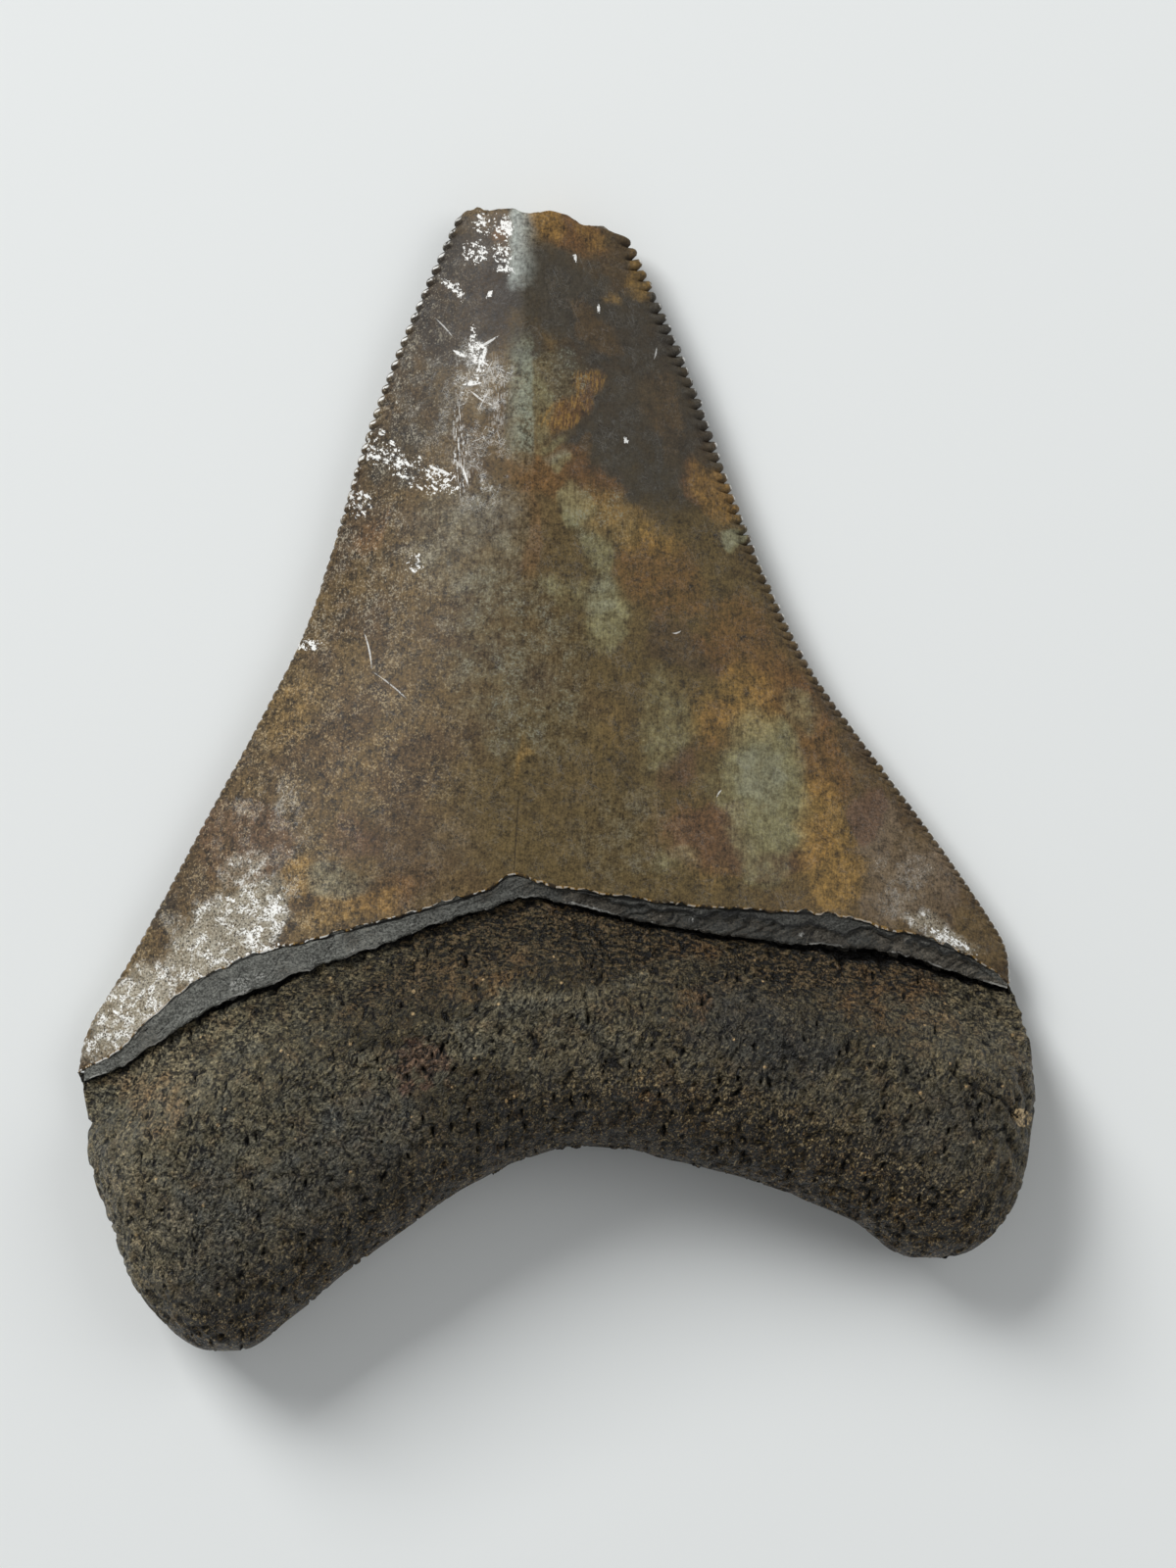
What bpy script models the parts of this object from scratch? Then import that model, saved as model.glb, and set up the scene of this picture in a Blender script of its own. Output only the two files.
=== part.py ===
"""A fossil megalodon tooth, lying on its flat outer (labial) face with its tip toward +Y.

The tooth grew as one piece, so it is one solid: a domed front sheet (the inner, lingual face,
looking up), a nearly flat back sheet (the labial face, looking down) and a wall round their
shared outline. The cutting edges carry their serrations, and the enamel ends in a ledge over
the bourlette, which ends in a ledge over the neck of the root.

Outlines and heights are in millimetres: x and y about the middle of the tooth, z above the floor.
Run it with: blender --background --python part.py
"""

import math

import bmesh
import bpy
from mathutils import Vector, noise
from mathutils.geometry import delaunay_2d_cdt

MM = 0.001  # metres in a millimetre

# The outline, clockwise seen from above. Each list starts where the one before it ends.
LEFT_EDGE = [
    (-31.3, -19.6), (-30.6, -16.7), (-28.0, -12.4), (-26.0, -8.8), (-22.9, -3.0), (-19.2, 3.8),
    (-16.4, 9.4), (-14.5, 15.0), (-12.6, 21.4), (-10.4, 27.5), (-7.8, 33.5), (-6.3, 36.6),
]  # fmt: skip
BROKEN_TIP = [
    (-6.1, 37.1), (-5.1, 37.55), (-4.2, 37.25), (-2.9, 37.3), (-1.6, 37.05), (-0.2, 37.15),
    (1.1, 36.85), (1.9, 36.4), (3.1, 36.25), (4.1, 35.95), (4.7, 35.6),
]  # fmt: skip
RIGHT_EDGE = [
    (4.8, 35.1), (6.7, 31.5), (9.1, 25.9), (11.3, 19.8), (13.7, 13.6), (16.8, 7.2),
    (20.8, 1.6), (25.5, -4.7), (28.8, -9.5), (29.9, -11.6), (30.0, -13.6),
]  # fmt: skip
ROOT_OUTLINE = [
    (30.2, -14.0), (30.9, -16.0), (31.35, -18.8), (31.35, -22.0), (30.8, -26.4), (29.6, -28.9),
    (27.7, -30.8), (25.2, -31.55), (22.4, -31.0), (19.6, -29.1), (16.0, -27.4), (11.5, -26.0),
    (8.0, -25.1), (4.6, -24.2), (0.5, -24.2), (-3.2, -25.5), (-7.1, -27.7), (-11.3, -30.6),
    (-15.6, -34.0), (-18.6, -36.4), (-20.6, -37.55), (-23.0, -37.45), (-25.0, -36.2),
    (-27.2, -33.4), (-28.9, -29.4), (-30.1, -25.9), (-30.5, -22.8), (-30.8, -20.4),
]  # fmt: skip

# The ledges of the lingual face, left to right, each a line that x runs along.
ENAMEL_EDGE = [
    (-30.6, -20.0), (-28.6, -18.1), (-26.8, -16.4), (-23.7, -13.8), (-19.2, -11.6), (-14.8, -10.5),
    (-8.6, -8.8), (-4.4, -7.5), (-2.5, -6.4), (-0.6, -6.9), (3.9, -7.8), (10.5, -8.6), (18.0, -9.1),
    (23.0, -10.3), (27.4, -11.9), (29.6, -13.4),
]  # fmt: skip
BOURLETTE_EDGE = [
    (-30.4, -20.4), (-28.1, -18.9), (-23.7, -16.1), (-19.2, -13.9), (-14.8, -12.4), (-8.2, -10.0),
    (-4.2, -8.7), (-1.4, -7.9), (1.7, -8.4), (6.0, -9.6), (13.8, -10.8), (21.6, -11.5),
    (25.8, -12.8), (29.6, -13.8),
]  # fmt: skip
LABIAL_ENAMEL_EDGE = [(-30.2, -19.6), (-16.0, -15.6), (0.0, -14.4), (16.0, -13.3), (29.4, -13.5)]

# Serrations. Wear is the share of the full depth left along an edge, by height y.
SERRATION_DEPTH = 0.36
SERRATION_PITCH = [(-20.0, 0.62), (37.0, 0.80)]  # by y
SERRATION_PROFILE = [(0.0, 0.0), (0.25, 0.75), (0.5, 1.0), (0.75, 0.75)]  # along one, outward
LEFT_WEAR = [(-20.0, 0.3), (-8.0, 0.55), (6.0, 0.6), (10.0, 0.3), (15.0, 0.35), (18.0, 0.9), (37.0, 1.0)]
RIGHT_WEAR = [(-14.0, 0.45), (-4.0, 0.75), (8.0, 0.85), (20.0, 1.0), (37.0, 1.0)]

# Heights of the crown.
EDGE_MIDDLE = 2.4  # of the cutting edge
EDGE_HALF = 0.3  # half its thickness at the middle of a serration
GROOVE_HALF = 0.14  # and in the groove between two
CREST_X = [(-9.0, -2.5), (37.0, -1.7)]  # where the crest of the front runs, by y
CREST_HEIGHT = [(-12.0, 9.8), (-6.0, 9.4), (8.0, 8.1), (25.0, 6.3), (37.0, 4.5)]
DOME_POWER = [(-6.0, 2.2), (12.0, 1.8), (37.0, 1.3)]  # 1 is a roof with a sharp ridge
ENAMEL_STEP = 0.4  # down to the bourlette
BOURLETTE_STEP = 0.7  # down to the neck of the root
STEP_RUN = 0.3  # how far a ledge slants outward on its way down
FLAT_SHARE = 0.42  # of the way from the crest to an edge: the labial face is flat this far
LABIAL_POWER = 2.5
TIP_LIFT = 0.9  # of the labial face at the broken tip
TIP_LIFT_FROM = 16.0
LABIAL_STEP = 0.25  # from the labial enamel up to the root beside it
LABIAL_STEP_RUN = 3.0

# Heights of the root.
ROOT_HEIGHT = 13.2
ROOT_FALL = 3.0  # how much lower the body of the root is out at the lobes
LOBE_X = 28.0
NECK_LENGTH = 7.0  # from the bourlette to the full height
ROOT_MIDDLE = 4.6  # height of the root's widest line, away from the shoulders
SHOULDER_BLEND = 8.0
ROOT_WALL_HALF = 0.35
FRONT_ROUNDING = 5.5
BACK_ROUNDING = 3.6
BASAL_SLOPE = 0.06  # fall per millimetre from the top of the swelling to the basal edge
LOBE_LIFT = 0.9  # of the labial face at the lobes
LUMP_HEIGHT = 0.4
LUMP_LENGTH = 2.1

# Spacing of the mesh points.
CURVE_STEP = 0.1
ROOT_STEP = 1.15
TIP_STEP = 0.55
LEDGE_STEP = 0.95
CROWN_PITCH = 1.65
ROOT_PITCH = 1.05
BACK_PITCH = 2.3
GROOVE_REACH = 0.9  # how far inside the cutting edges a row of points stands
ROUNDING_REACHES = (0.45, 1.4)  # and the rows inside the root's outline
CLEAR_SHARE = 0.62  # points stay this share of their spacing away from the ones before them
CHAIN_CLEAR = 0.35  # and ledges stop this far inside the outline
GRID_ACROSS = 33.0  # half the width and half the length that the grids cover
GRID_ALONG = 40.0
LEDGE_RAGGED = 0.16
SHADE_ANGLE = math.radians(32)


def between(table, at):
    """The value at a place in a table of (place, value) rows that runs upward."""
    if at <= table[0][0]:
        return table[0][1]
    for (a, low), (b, high) in zip(table, table[1:]):
        if at <= b:
            return low + (high - low) * (at - a) / (b - a)
    return table[-1][1]


def smooth_step(share):
    """0 to 1 with level ends."""
    share = min(max(share, 0.0), 1.0)
    return share * share * (3 - 2 * share)


def curve_through(points, step=CURVE_STEP):
    """A smooth line through the points, as Vectors about one step apart."""
    points = [Vector(p) for p in points]
    ends = [2 * points[0] - points[1], *points, 2 * points[-1] - points[-2]]
    line = [points[0]]
    for a, b, c, d in zip(ends, ends[1:], ends[2:], ends[3:]):
        count = max(round((c - b).length / step), 1)
        for i in range(1, count + 1):
            t = i / count
            line.append(
                0.5 * (2 * b + (c - a) * t + (2 * a - 5 * b + 4 * c - d) * t**2
                       + (3 * b - a - 3 * c + d) * t**3)
            )  # fmt: skip
    return line


def walk(line, distances):
    """Points at the given rising distances along a line, each with the line's direction there."""
    found, run, i = [], 0.0, 0
    length = (line[1] - line[0]).length
    for distance in distances:
        while run + length < distance and i < len(line) - 2:
            run += length
            i += 1
            length = (line[i + 1] - line[i]).length
        way = (line[i + 1] - line[i]) / length
        found.append((line[i] + way * (distance - run), way))
    return found


def line_length(line):
    """Length of a line of points."""
    return sum((b - a).length for a, b in zip(line, line[1:]))


def resampled(line, step):
    """Points about one step apart along a line, its ends among them."""
    count = max(round(line_length(line) / step), 1)
    total = line_length(line)
    return [p for p, _ in walk(line, [total * i / count for i in range(count)])] + [line[-1]]


def height_of_line(line):
    """A line that x runs along, as a table of (x, y) rows."""
    return [(p.x, p.y) for p in line]


def crossing_of_edge(line):
    """A cutting edge, as a table of (y, x) rows that runs upward."""
    rows = sorted((p.y, p.x) for p in line)
    return [row for row, after in zip(rows, rows[1:]) if after[0] > row[0]] + rows[-1:]


def serrated(line, wear):
    """A cutting edge's points with its serrations, as (point, how far out of the groove 0..1)."""
    total = line_length(line)
    starts, at = [], 0.0
    while at < total:
        here = walk(line, [at])[0][0]
        pitch = between(SERRATION_PITCH, here.y)
        starts.append((at, pitch))
        at += pitch
    points = []
    for start, pitch in starts:
        for share, out in SERRATION_PROFILE:
            place = start + share * pitch
            if place >= total:
                break
            point, way = walk(line, [place])[0]
            rise = out * between(wear, point.y)
            outward = Vector((-way.y, way.x))
            points.append((point + outward * SERRATION_DEPTH * rise, out))
    return points


def ragged(line, amount, seed):
    """A line whose points stray up and down a little, as a chipped edge does."""
    return [
        Vector((p.x, p.y + amount * noise.noise(Vector((p.x / 1.3, p.y / 1.3, seed))))) for p in line
    ]


LEFT_LINE = curve_through(LEFT_EDGE)
RIGHT_LINE = curve_through(RIGHT_EDGE)
ROOT_LINE = curve_through(ROOT_OUTLINE)
ENAMEL_LINE = ragged(curve_through(ENAMEL_EDGE), LEDGE_RAGGED, 3.0)
BOURLETTE_LINE = ragged(curve_through(BOURLETTE_EDGE), LEDGE_RAGGED, 7.0)
LABIAL_LINE = curve_through(LABIAL_ENAMEL_EDGE)

LEFT_X = crossing_of_edge(LEFT_LINE)
RIGHT_X = crossing_of_edge(RIGHT_LINE)
ENAMEL_Y = height_of_line(ENAMEL_LINE)
BOURLETTE_Y = height_of_line(BOURLETTE_LINE)
LABIAL_Y = height_of_line(LABIAL_LINE)
ROOT_MARKS = resampled(ROOT_LINE, CURVE_STEP * 4)


def share_to_edge(x, y):
    """How far a point is from the crest line (0) to the cutting edge on its side (1)."""
    crest = between(CREST_X, y)
    edge = between(RIGHT_X if x > crest else LEFT_X, y)
    return min(abs((x - crest) / (edge - crest)), 1.0)


def root_depth(point):
    """Distance from a point to the root's outline."""
    return min((mark - point).length for mark in ROOT_MARKS)


def rounding(depth, radius):
    """0 at the outline to 1 a radius inside it, as a quarter round."""
    left = 1 - min(depth / radius, 1.0)
    return math.sqrt(1 - left * left)


def middle_height(x, y):
    """Height of the outline's middle: low at the cutting edges and higher round the root."""
    below = between(BOURLETTE_Y, x) - y
    return EDGE_MIDDLE + (ROOT_MIDDLE - EDGE_MIDDLE) * smooth_step(below / SHOULDER_BLEND)


def dome(x, y):
    """Height of the crown's front before any ledge."""
    crest = between(CREST_HEIGHT, y)
    fall = share_to_edge(x, y) ** between(DOME_POWER, y)
    low = EDGE_MIDDLE + EDGE_HALF
    return low + (crest - low) * (1 - fall)


def lumps(x, y, seed):
    """Low lumps of the root's surface."""
    return LUMP_HEIGHT * noise.noise(Vector((x / LUMP_LENGTH, y / LUMP_LENGTH, seed)))


def front_height(point):
    """Height of the lingual face, with the enamel, the bourlette and the root in their steps."""
    x, y = point
    slack = 0.02
    if y >= between(ENAMEL_Y, x) - slack:
        return dome(x, y)
    below = between(BOURLETTE_Y, x) - y
    if below <= slack:
        return dome(x, y) - ENAMEL_STEP
    neck = dome(x, between(BOURLETTE_Y, x)) - ENAMEL_STEP - BOURLETTE_STEP
    body = ROOT_HEIGHT - ROOT_FALL * (abs(x) / LOBE_X) ** 1.5 - BASAL_SLOPE * max(below - NECK_LENGTH, 0)
    top = neck + (body - neck) * smooth_step(below / NECK_LENGTH) + lumps(x, y, 1.0)
    middle = middle_height(x, y) + ROOT_WALL_HALF
    return middle + max(top - middle, 0.0) * rounding(root_depth(point), FRONT_ROUNDING)


def back_height(point):
    """Height of the labial face: flat in the middle, up to the edges, the tip and the lobes."""
    x, y = point
    below = between(LABIAL_Y, x) - y
    rise = max(share_to_edge(x, y) - FLAT_SHARE, 0) / (1 - FLAT_SHARE)
    if below <= 0.02:
        lift = TIP_LIFT * smooth_step((y - TIP_LIFT_FROM) / (LEFT_EDGE[-1][1] - TIP_LIFT_FROM))
        return lift + (EDGE_MIDDLE - EDGE_HALF - lift) * rise**LABIAL_POWER
    step = LABIAL_STEP * (1 - smooth_step(below / LABIAL_STEP_RUN))
    floor = max(step, LOBE_LIFT * smooth_step(rise))
    if floor > 0:
        floor = max(floor + lumps(x, y, 5.0) * smooth_step(rise), 0.0)
    middle = middle_height(x, y) - ROOT_WALL_HALF
    return middle - max(middle - floor, 0.0) * rounding(root_depth(point), BACK_ROUNDING)


def blade_rows(line, wear):
    """A cutting edge as outline rows of (point, middle height, half thickness)."""
    rows = []
    for point, out in serrated(line, wear):
        rows.append((point, EDGE_MIDDLE, GROOVE_HALF + (EDGE_HALF - GROOVE_HALF) * out))
    return rows


def tip_rows():
    """The broken tip as outline rows, as thick as the crown is there."""
    rows = []
    for point in resampled(curve_through(BROKEN_TIP), TIP_STEP):
        low, high = back_height(point), dome(*point)
        rows.append((point, (low + high) / 2, (high - low) / 2))
    return rows


def root_rows():
    """The way round the root as outline rows."""
    return [(p, middle_height(*p), ROOT_WALL_HALF) for p in resampled(ROOT_LINE, ROOT_STEP)]


def inside(point, loop):
    """Whether a point is inside a closed loop."""
    crossings = 0
    for a, b in zip(loop, loop[1:] + loop[:1]):
        if (a.y > point.y) != (b.y > point.y):
            crossings += point.x < a.x + (b.x - a.x) * (point.y - a.y) / (b.y - a.y)
    return crossings % 2 == 1


def clear_of(point, marks, distance):
    """Whether a point keeps its distance from all the marks."""
    return all((mark - point).length_squared > distance * distance for mark in marks)


def grid(loop, lines, pitch_at, finest):
    """Points of a triangular grid inside the outline, as far apart as pitch_at gives, clear of lines."""
    points = []
    for pitch in sorted({pitch_at(p) for p in loop} | {finest}):
        row, y = 0, -GRID_ALONG
        while y < GRID_ALONG:
            x = -GRID_ACROSS + (row % 2) * pitch / 2
            while x < GRID_ACROSS:
                point = Vector((x, y))
                if pitch_at(point) == pitch and inside(point, loop):
                    if clear_of(point, lines, CLEAR_SHARE * pitch):
                        points.append(point)
                x += pitch
            y += pitch * math.sqrt(3) / 2
            row += 1
    return points


def set_in(rows, loop, reach, skip):
    """Points a reach inside a stretch of outline rows, one for every skip of them."""
    found = []
    for i in range(1, len(rows) - 1, skip):
        way = (rows[i + 1][0] - rows[i - 1][0]).normalized()
        found.append(rows[i][0] - Vector((-way.y, way.x)) * reach)
    return [p for p in found if inside(p, loop) and clear_of(p, loop, reach * CLEAR_SHARE)]


def ledge(line, run):
    """A ledge's two chains of points: its top, and its foot a short run further down."""
    top = resampled(line, LEDGE_STEP)
    return top, [point - Vector((0, run)) for point in top]


def triangulated(loop, chains, loose):
    """Triangles over the outline with the chains as edges: points, triangles and the loop's indices."""
    points, edges = list(loop), [(i, (i + 1) % len(loop)) for i in range(len(loop))]
    for chain in chains:
        kept = [p for p in chain if inside(p, loop) and clear_of(p, loop, CHAIN_CLEAR)]
        first = len(points)
        points += kept
        edges += [(first + i, first + i + 1) for i in range(len(kept) - 1)]
    points += loose
    found, _, faces, sources, _, _ = delaunay_2d_cdt(points, edges, [], 1, 1e-5)
    place = {source: i for i, group in enumerate(sources) for source in group}
    return found, faces, [place[i] for i in range(len(loop))]


def front_pitch(point):
    """Grid spacing on the front: wider on the smooth enamel than on the lumpy root."""
    return CROWN_PITCH if point.y > between(ENAMEL_Y, point.x) else ROOT_PITCH


def back_pitch(_):
    """Grid spacing on the back."""
    return BACK_PITCH


def tooth_mesh():
    """The closed mesh of the whole tooth, in metres, with its middle over the origin."""
    left, right, root = blade_rows(LEFT_LINE, LEFT_WEAR), blade_rows(RIGHT_LINE, RIGHT_WEAR), root_rows()
    rows = left + tip_rows() + right + root
    loop = [point for point, _, _ in rows]
    blade_marks = set_in(left, loop, GROOVE_REACH, 2) + set_in(right, loop, GROOVE_REACH, 2)
    root_marks = [p for reach in ROUNDING_REACHES for p in set_in(root, loop, reach, 1)]
    front_lines = [*ledge(ENAMEL_LINE, STEP_RUN), *ledge(BOURLETTE_LINE, STEP_RUN)]
    back_lines = ledge(LABIAL_LINE, STEP_RUN)

    mesh = bmesh.new()
    rims = []
    for height, side, lines, marks, pitch_at in (
        (front_height, 1, front_lines, blade_marks + root_marks, front_pitch),
        (back_height, -1, back_lines, root_marks, back_pitch),
    ):
        chained = [p for line in lines for p in line]
        marks = [p for p in marks if clear_of(p, chained, CHAIN_CLEAR)]
        spread = grid(loop, loop + chained + marks, pitch_at, pitch_at(loop[-1]))
        points, faces, rim = triangulated(loop, lines, marks + spread)
        at_rim = {i: middle + side * half for i, (_, middle, half) in zip(rim, rows)}
        heights = [at_rim[i] if i in at_rim else height(p) for i, p in enumerate(points)]
        verts = [mesh.verts.new(Vector((*p, z)) * MM) for p, z in zip(points, heights)]
        for face in faces:
            mesh.faces.new([verts[i] for i in face])
        rims.append([verts[i] for i in rim])
    front, back = rims
    for i in range(len(front)):
        mesh.faces.new((front[i - 1], front[i], back[i], back[i - 1]))
    bmesh.ops.recalc_face_normals(mesh, faces=mesh.faces)
    across = [v.co.x for v in mesh.verts]
    along = [v.co.y for v in mesh.verts]
    middle = Vector((max(across) + min(across), max(along) + min(along), 0)) / 2
    bmesh.ops.translate(mesh, verts=mesh.verts, vec=-middle)
    return mesh


def fossil_material():
    """The dark grey-brown of the tooth."""
    material = bpy.data.materials.new("fossil")
    material.use_nodes = True
    shader = material.node_tree.nodes["Principled BSDF"]
    shader.inputs["Base Color"].default_value = (0.075, 0.062, 0.048, 1.0)
    shader.inputs["Roughness"].default_value = 0.45
    shader.inputs["Metallic"].default_value = 0.0
    return material


def main():
    """Clear the scene and make the tooth."""
    for existing in list(bpy.data.objects):
        bpy.data.objects.remove(existing)
    shape = tooth_mesh()
    mesh = bpy.data.meshes.new("tooth")
    shape.to_mesh(mesh)
    shape.free()
    mesh.shade_smooth()
    mesh.set_sharp_from_angle(angle=SHADE_ANGLE)
    mesh.materials.append(fossil_material())
    tooth = bpy.data.objects.new("tooth", mesh)
    bpy.context.scene.collection.objects.link(tooth)


main()
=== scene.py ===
"""The looks of a fossil megalodon tooth: enamel crown, bourlette and root round the frame's solid.

The tooth lies on its flat outer (labial) face, tip toward +Y, and its domed inner (lingual) face
looks up. It is one natural piece that is dressed as three closed meshes, each with its own
finish. Lengths inside the classes are in millimetres, about the middle of the tooth and above
the floor; meshes are in metres.
"""

from __future__ import annotations

import itertools
import logging
import math
from dataclasses import dataclass
from enum import Enum
from typing import Callable, ClassVar, Sequence

import bpy
import numpy as np
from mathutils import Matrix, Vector

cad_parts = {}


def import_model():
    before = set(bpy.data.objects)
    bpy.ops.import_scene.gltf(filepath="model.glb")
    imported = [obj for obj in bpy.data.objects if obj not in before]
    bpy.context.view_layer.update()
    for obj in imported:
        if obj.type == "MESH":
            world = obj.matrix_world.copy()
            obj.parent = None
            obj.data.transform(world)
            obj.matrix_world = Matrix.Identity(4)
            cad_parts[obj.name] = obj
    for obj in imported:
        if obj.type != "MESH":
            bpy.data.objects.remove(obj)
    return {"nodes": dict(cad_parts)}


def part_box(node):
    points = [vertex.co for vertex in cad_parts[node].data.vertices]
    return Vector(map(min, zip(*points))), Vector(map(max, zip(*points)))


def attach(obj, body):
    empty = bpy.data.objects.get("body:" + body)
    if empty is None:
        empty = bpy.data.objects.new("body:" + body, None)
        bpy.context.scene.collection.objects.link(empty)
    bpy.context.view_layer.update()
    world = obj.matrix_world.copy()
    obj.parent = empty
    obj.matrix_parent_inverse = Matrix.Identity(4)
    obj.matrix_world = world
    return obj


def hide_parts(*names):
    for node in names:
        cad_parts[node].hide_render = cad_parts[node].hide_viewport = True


log = logging.getLogger("tooth")

MM = 0.001  # metres in a millimetre
NODE = "tooth"
BODY = "root"
MERGE = 1e-6  # sheets share their borders to within this, in metres
NEAR = 1e-5  # shares of a sheet that are closer than this are the same
SHARP = 50.0  # edges that turn further than this many degrees are shaded sharp

Array = np.ndarray
Thing = bpy.types.Object
Socket = bpy.types.NodeSocket
Pair = tuple[float, float]
Pairs = Sequence[Pair]
Triple = tuple[float, float, float]
Colour = Triple  # red, green and blue light from 0 to 1


# --- numbers over arrays ---


def eased(share: Array) -> Array:
    """0 to 1 with level ends."""
    share = np.clip(share, 0.0, 1.0)
    return share * share * (3 - 2 * share)


def quarter_round(share: Array) -> Array:
    """0 to 1 along a quarter of a circle, upright at 0 and level at 1."""
    left = 1 - np.clip(share, 0.0, 1.0)
    return np.sqrt(1 - left * left)


def read(table: Pairs, at: Array) -> Array:
    """Values at the given places of a table of (place, value) rows that runs upward."""
    places, values = zip(*table)
    return np.interp(at, places, values)


def stacked(*parts: Array) -> Array:
    """Coordinates side by side, as one array of points."""
    return np.stack(np.broadcast_arrays(*parts), axis=-1)


class Curve:
    """A smooth flat line through a few points, read by the share of its length."""

    probe = 0.2  # how far away on each side the points lie that give the line's direction
    batch = 4000  # points whose distances are measured together

    def __init__(self, points: Pairs, step: float = 0.03) -> None:
        """Lay the line.

        Args:
            points: What the line passes through.
            step: Spacing of the points that the line is kept as.
        """
        knots = np.array(points, float)
        ends = np.vstack([2 * knots[0] - knots[1], knots, 2 * knots[-1] - knots[-2]])
        rows = [knots[:1]]
        for a, b, c, d in zip(ends, ends[1:], ends[2:], ends[3:]):
            count = max(int(np.linalg.norm(c - b) / step), 2)
            t = np.arange(1, count + 1)[:, None] / count
            bend = (2 * a - 5 * b + 4 * c - d) * t**2 + (3 * b - a - 3 * c + d) * t**3
            rows.append(0.5 * (2 * b + (c - a) * t + bend))
        self.keep(np.vstack(rows))

    @classmethod
    def of(cls, points: Array, shares: Array | None = None) -> Curve:
        """A line that is kept as just these points.

        Args:
            points: Flat points.
            shares: What they are read by instead of the share of the length.

        Returns:
            The line.
        """
        line = cls.__new__(cls)
        line.keep(points)
        if shares is not None:
            line.shares = shares
        return line

    def keep(self, points: Array) -> None:
        """Hold the points and how far along the line each one is.

        Args:
            points: Flat points.
        """
        self.points = points
        runs = np.concatenate([[0.0], np.cumsum(np.hypot(*np.diff(points, axis=0).T))])
        self.length = float(runs[-1])
        self.shares = runs / self.length

    def at(self, share: Array) -> Array:
        """The points at the given shares of the length."""
        return stacked(*(np.interp(share, self.shares, self.points[:, k]) for k in (0, 1)))

    def outward(self, share: Array) -> Array:
        """Unit normals on the left of the line's direction.

        Args:
            share: Shares of the length.

        Returns:
            One flat normal for each share.
        """
        reach = self.probe / self.length
        way = self.at(np.minimum(share + reach, 1)) - self.at(np.maximum(share - reach, 0))
        way /= np.linalg.norm(way, axis=-1, keepdims=True)
        return stacked(-way[..., 1], way[..., 0])

    def stretch(self, start: float, end: float) -> Curve:
        """The part between two shares of the length, turned round where its end comes first."""
        count = max(int(abs(end - start) * len(self.points)), 2)
        return Curve.of(self.at(np.linspace(start, end, count)))

    def height_at(self, x: Array) -> Array:
        """How far up a line that runs along x is at the given places."""
        return np.interp(x, self.points[:, 0], self.points[:, 1])

    def distance(self, points: Array, spacing: float = 0.5) -> Array:
        """Distances of flat points from the line.

        Args:
            points: Flat points.
            spacing: Length of the straight stretches that stand for the line.

        Returns:
            One distance for each point.
        """
        marks = self.at(np.linspace(0, 1, max(int(self.length / spacing), 2)))
        start, way = marks[:-1], np.diff(marks, axis=0)
        square = (way * way).sum(axis=1)
        nearest = []
        for some in np.array_split(points, max(len(points) // self.batch, 1)):
            gap = some[:, None] - start
            share = np.clip((gap * way).sum(axis=2) / square, 0, 1)
            off = gap - share[..., None] * way
            nearest.append(np.sqrt((off * off).sum(axis=2).min(axis=1)))
        return np.concatenate(nearest)


class Lattice:
    """Smooth noise through space, from a seeded block of random values that repeats."""

    size = 64
    shift = 17.3  # keeps the block's own planes off the middle of the tooth

    def __init__(self, seed: int) -> None:
        """Fill the block."""
        self.values = np.random.default_rng(seed).uniform(-1, 1, (self.size,) * 3)

    def at(self, points: Array, length: float | Sequence[float]) -> Array:
        """Noise from -1 to 1.

        Args:
            points: Points in space, one in each row.
            length: Size of the noise's lumps, or one size for each axis.

        Returns:
            One value for each point.
        """
        place = points / np.asarray(length, float) + self.shift
        cell = np.floor(place).astype(int)
        part = place - cell
        part = part**3 * (part * (part * 6 - 15) + 10)
        total = np.zeros(len(points))
        for corner in itertools.product((0, 1), repeat=3):
            share = np.prod(np.where(corner, part, 1 - part), axis=1)
            i, j, k = ((cell + corner) % self.size).T
            total += share * self.values[i, j, k]
        return total


# --- modelling ---


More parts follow.
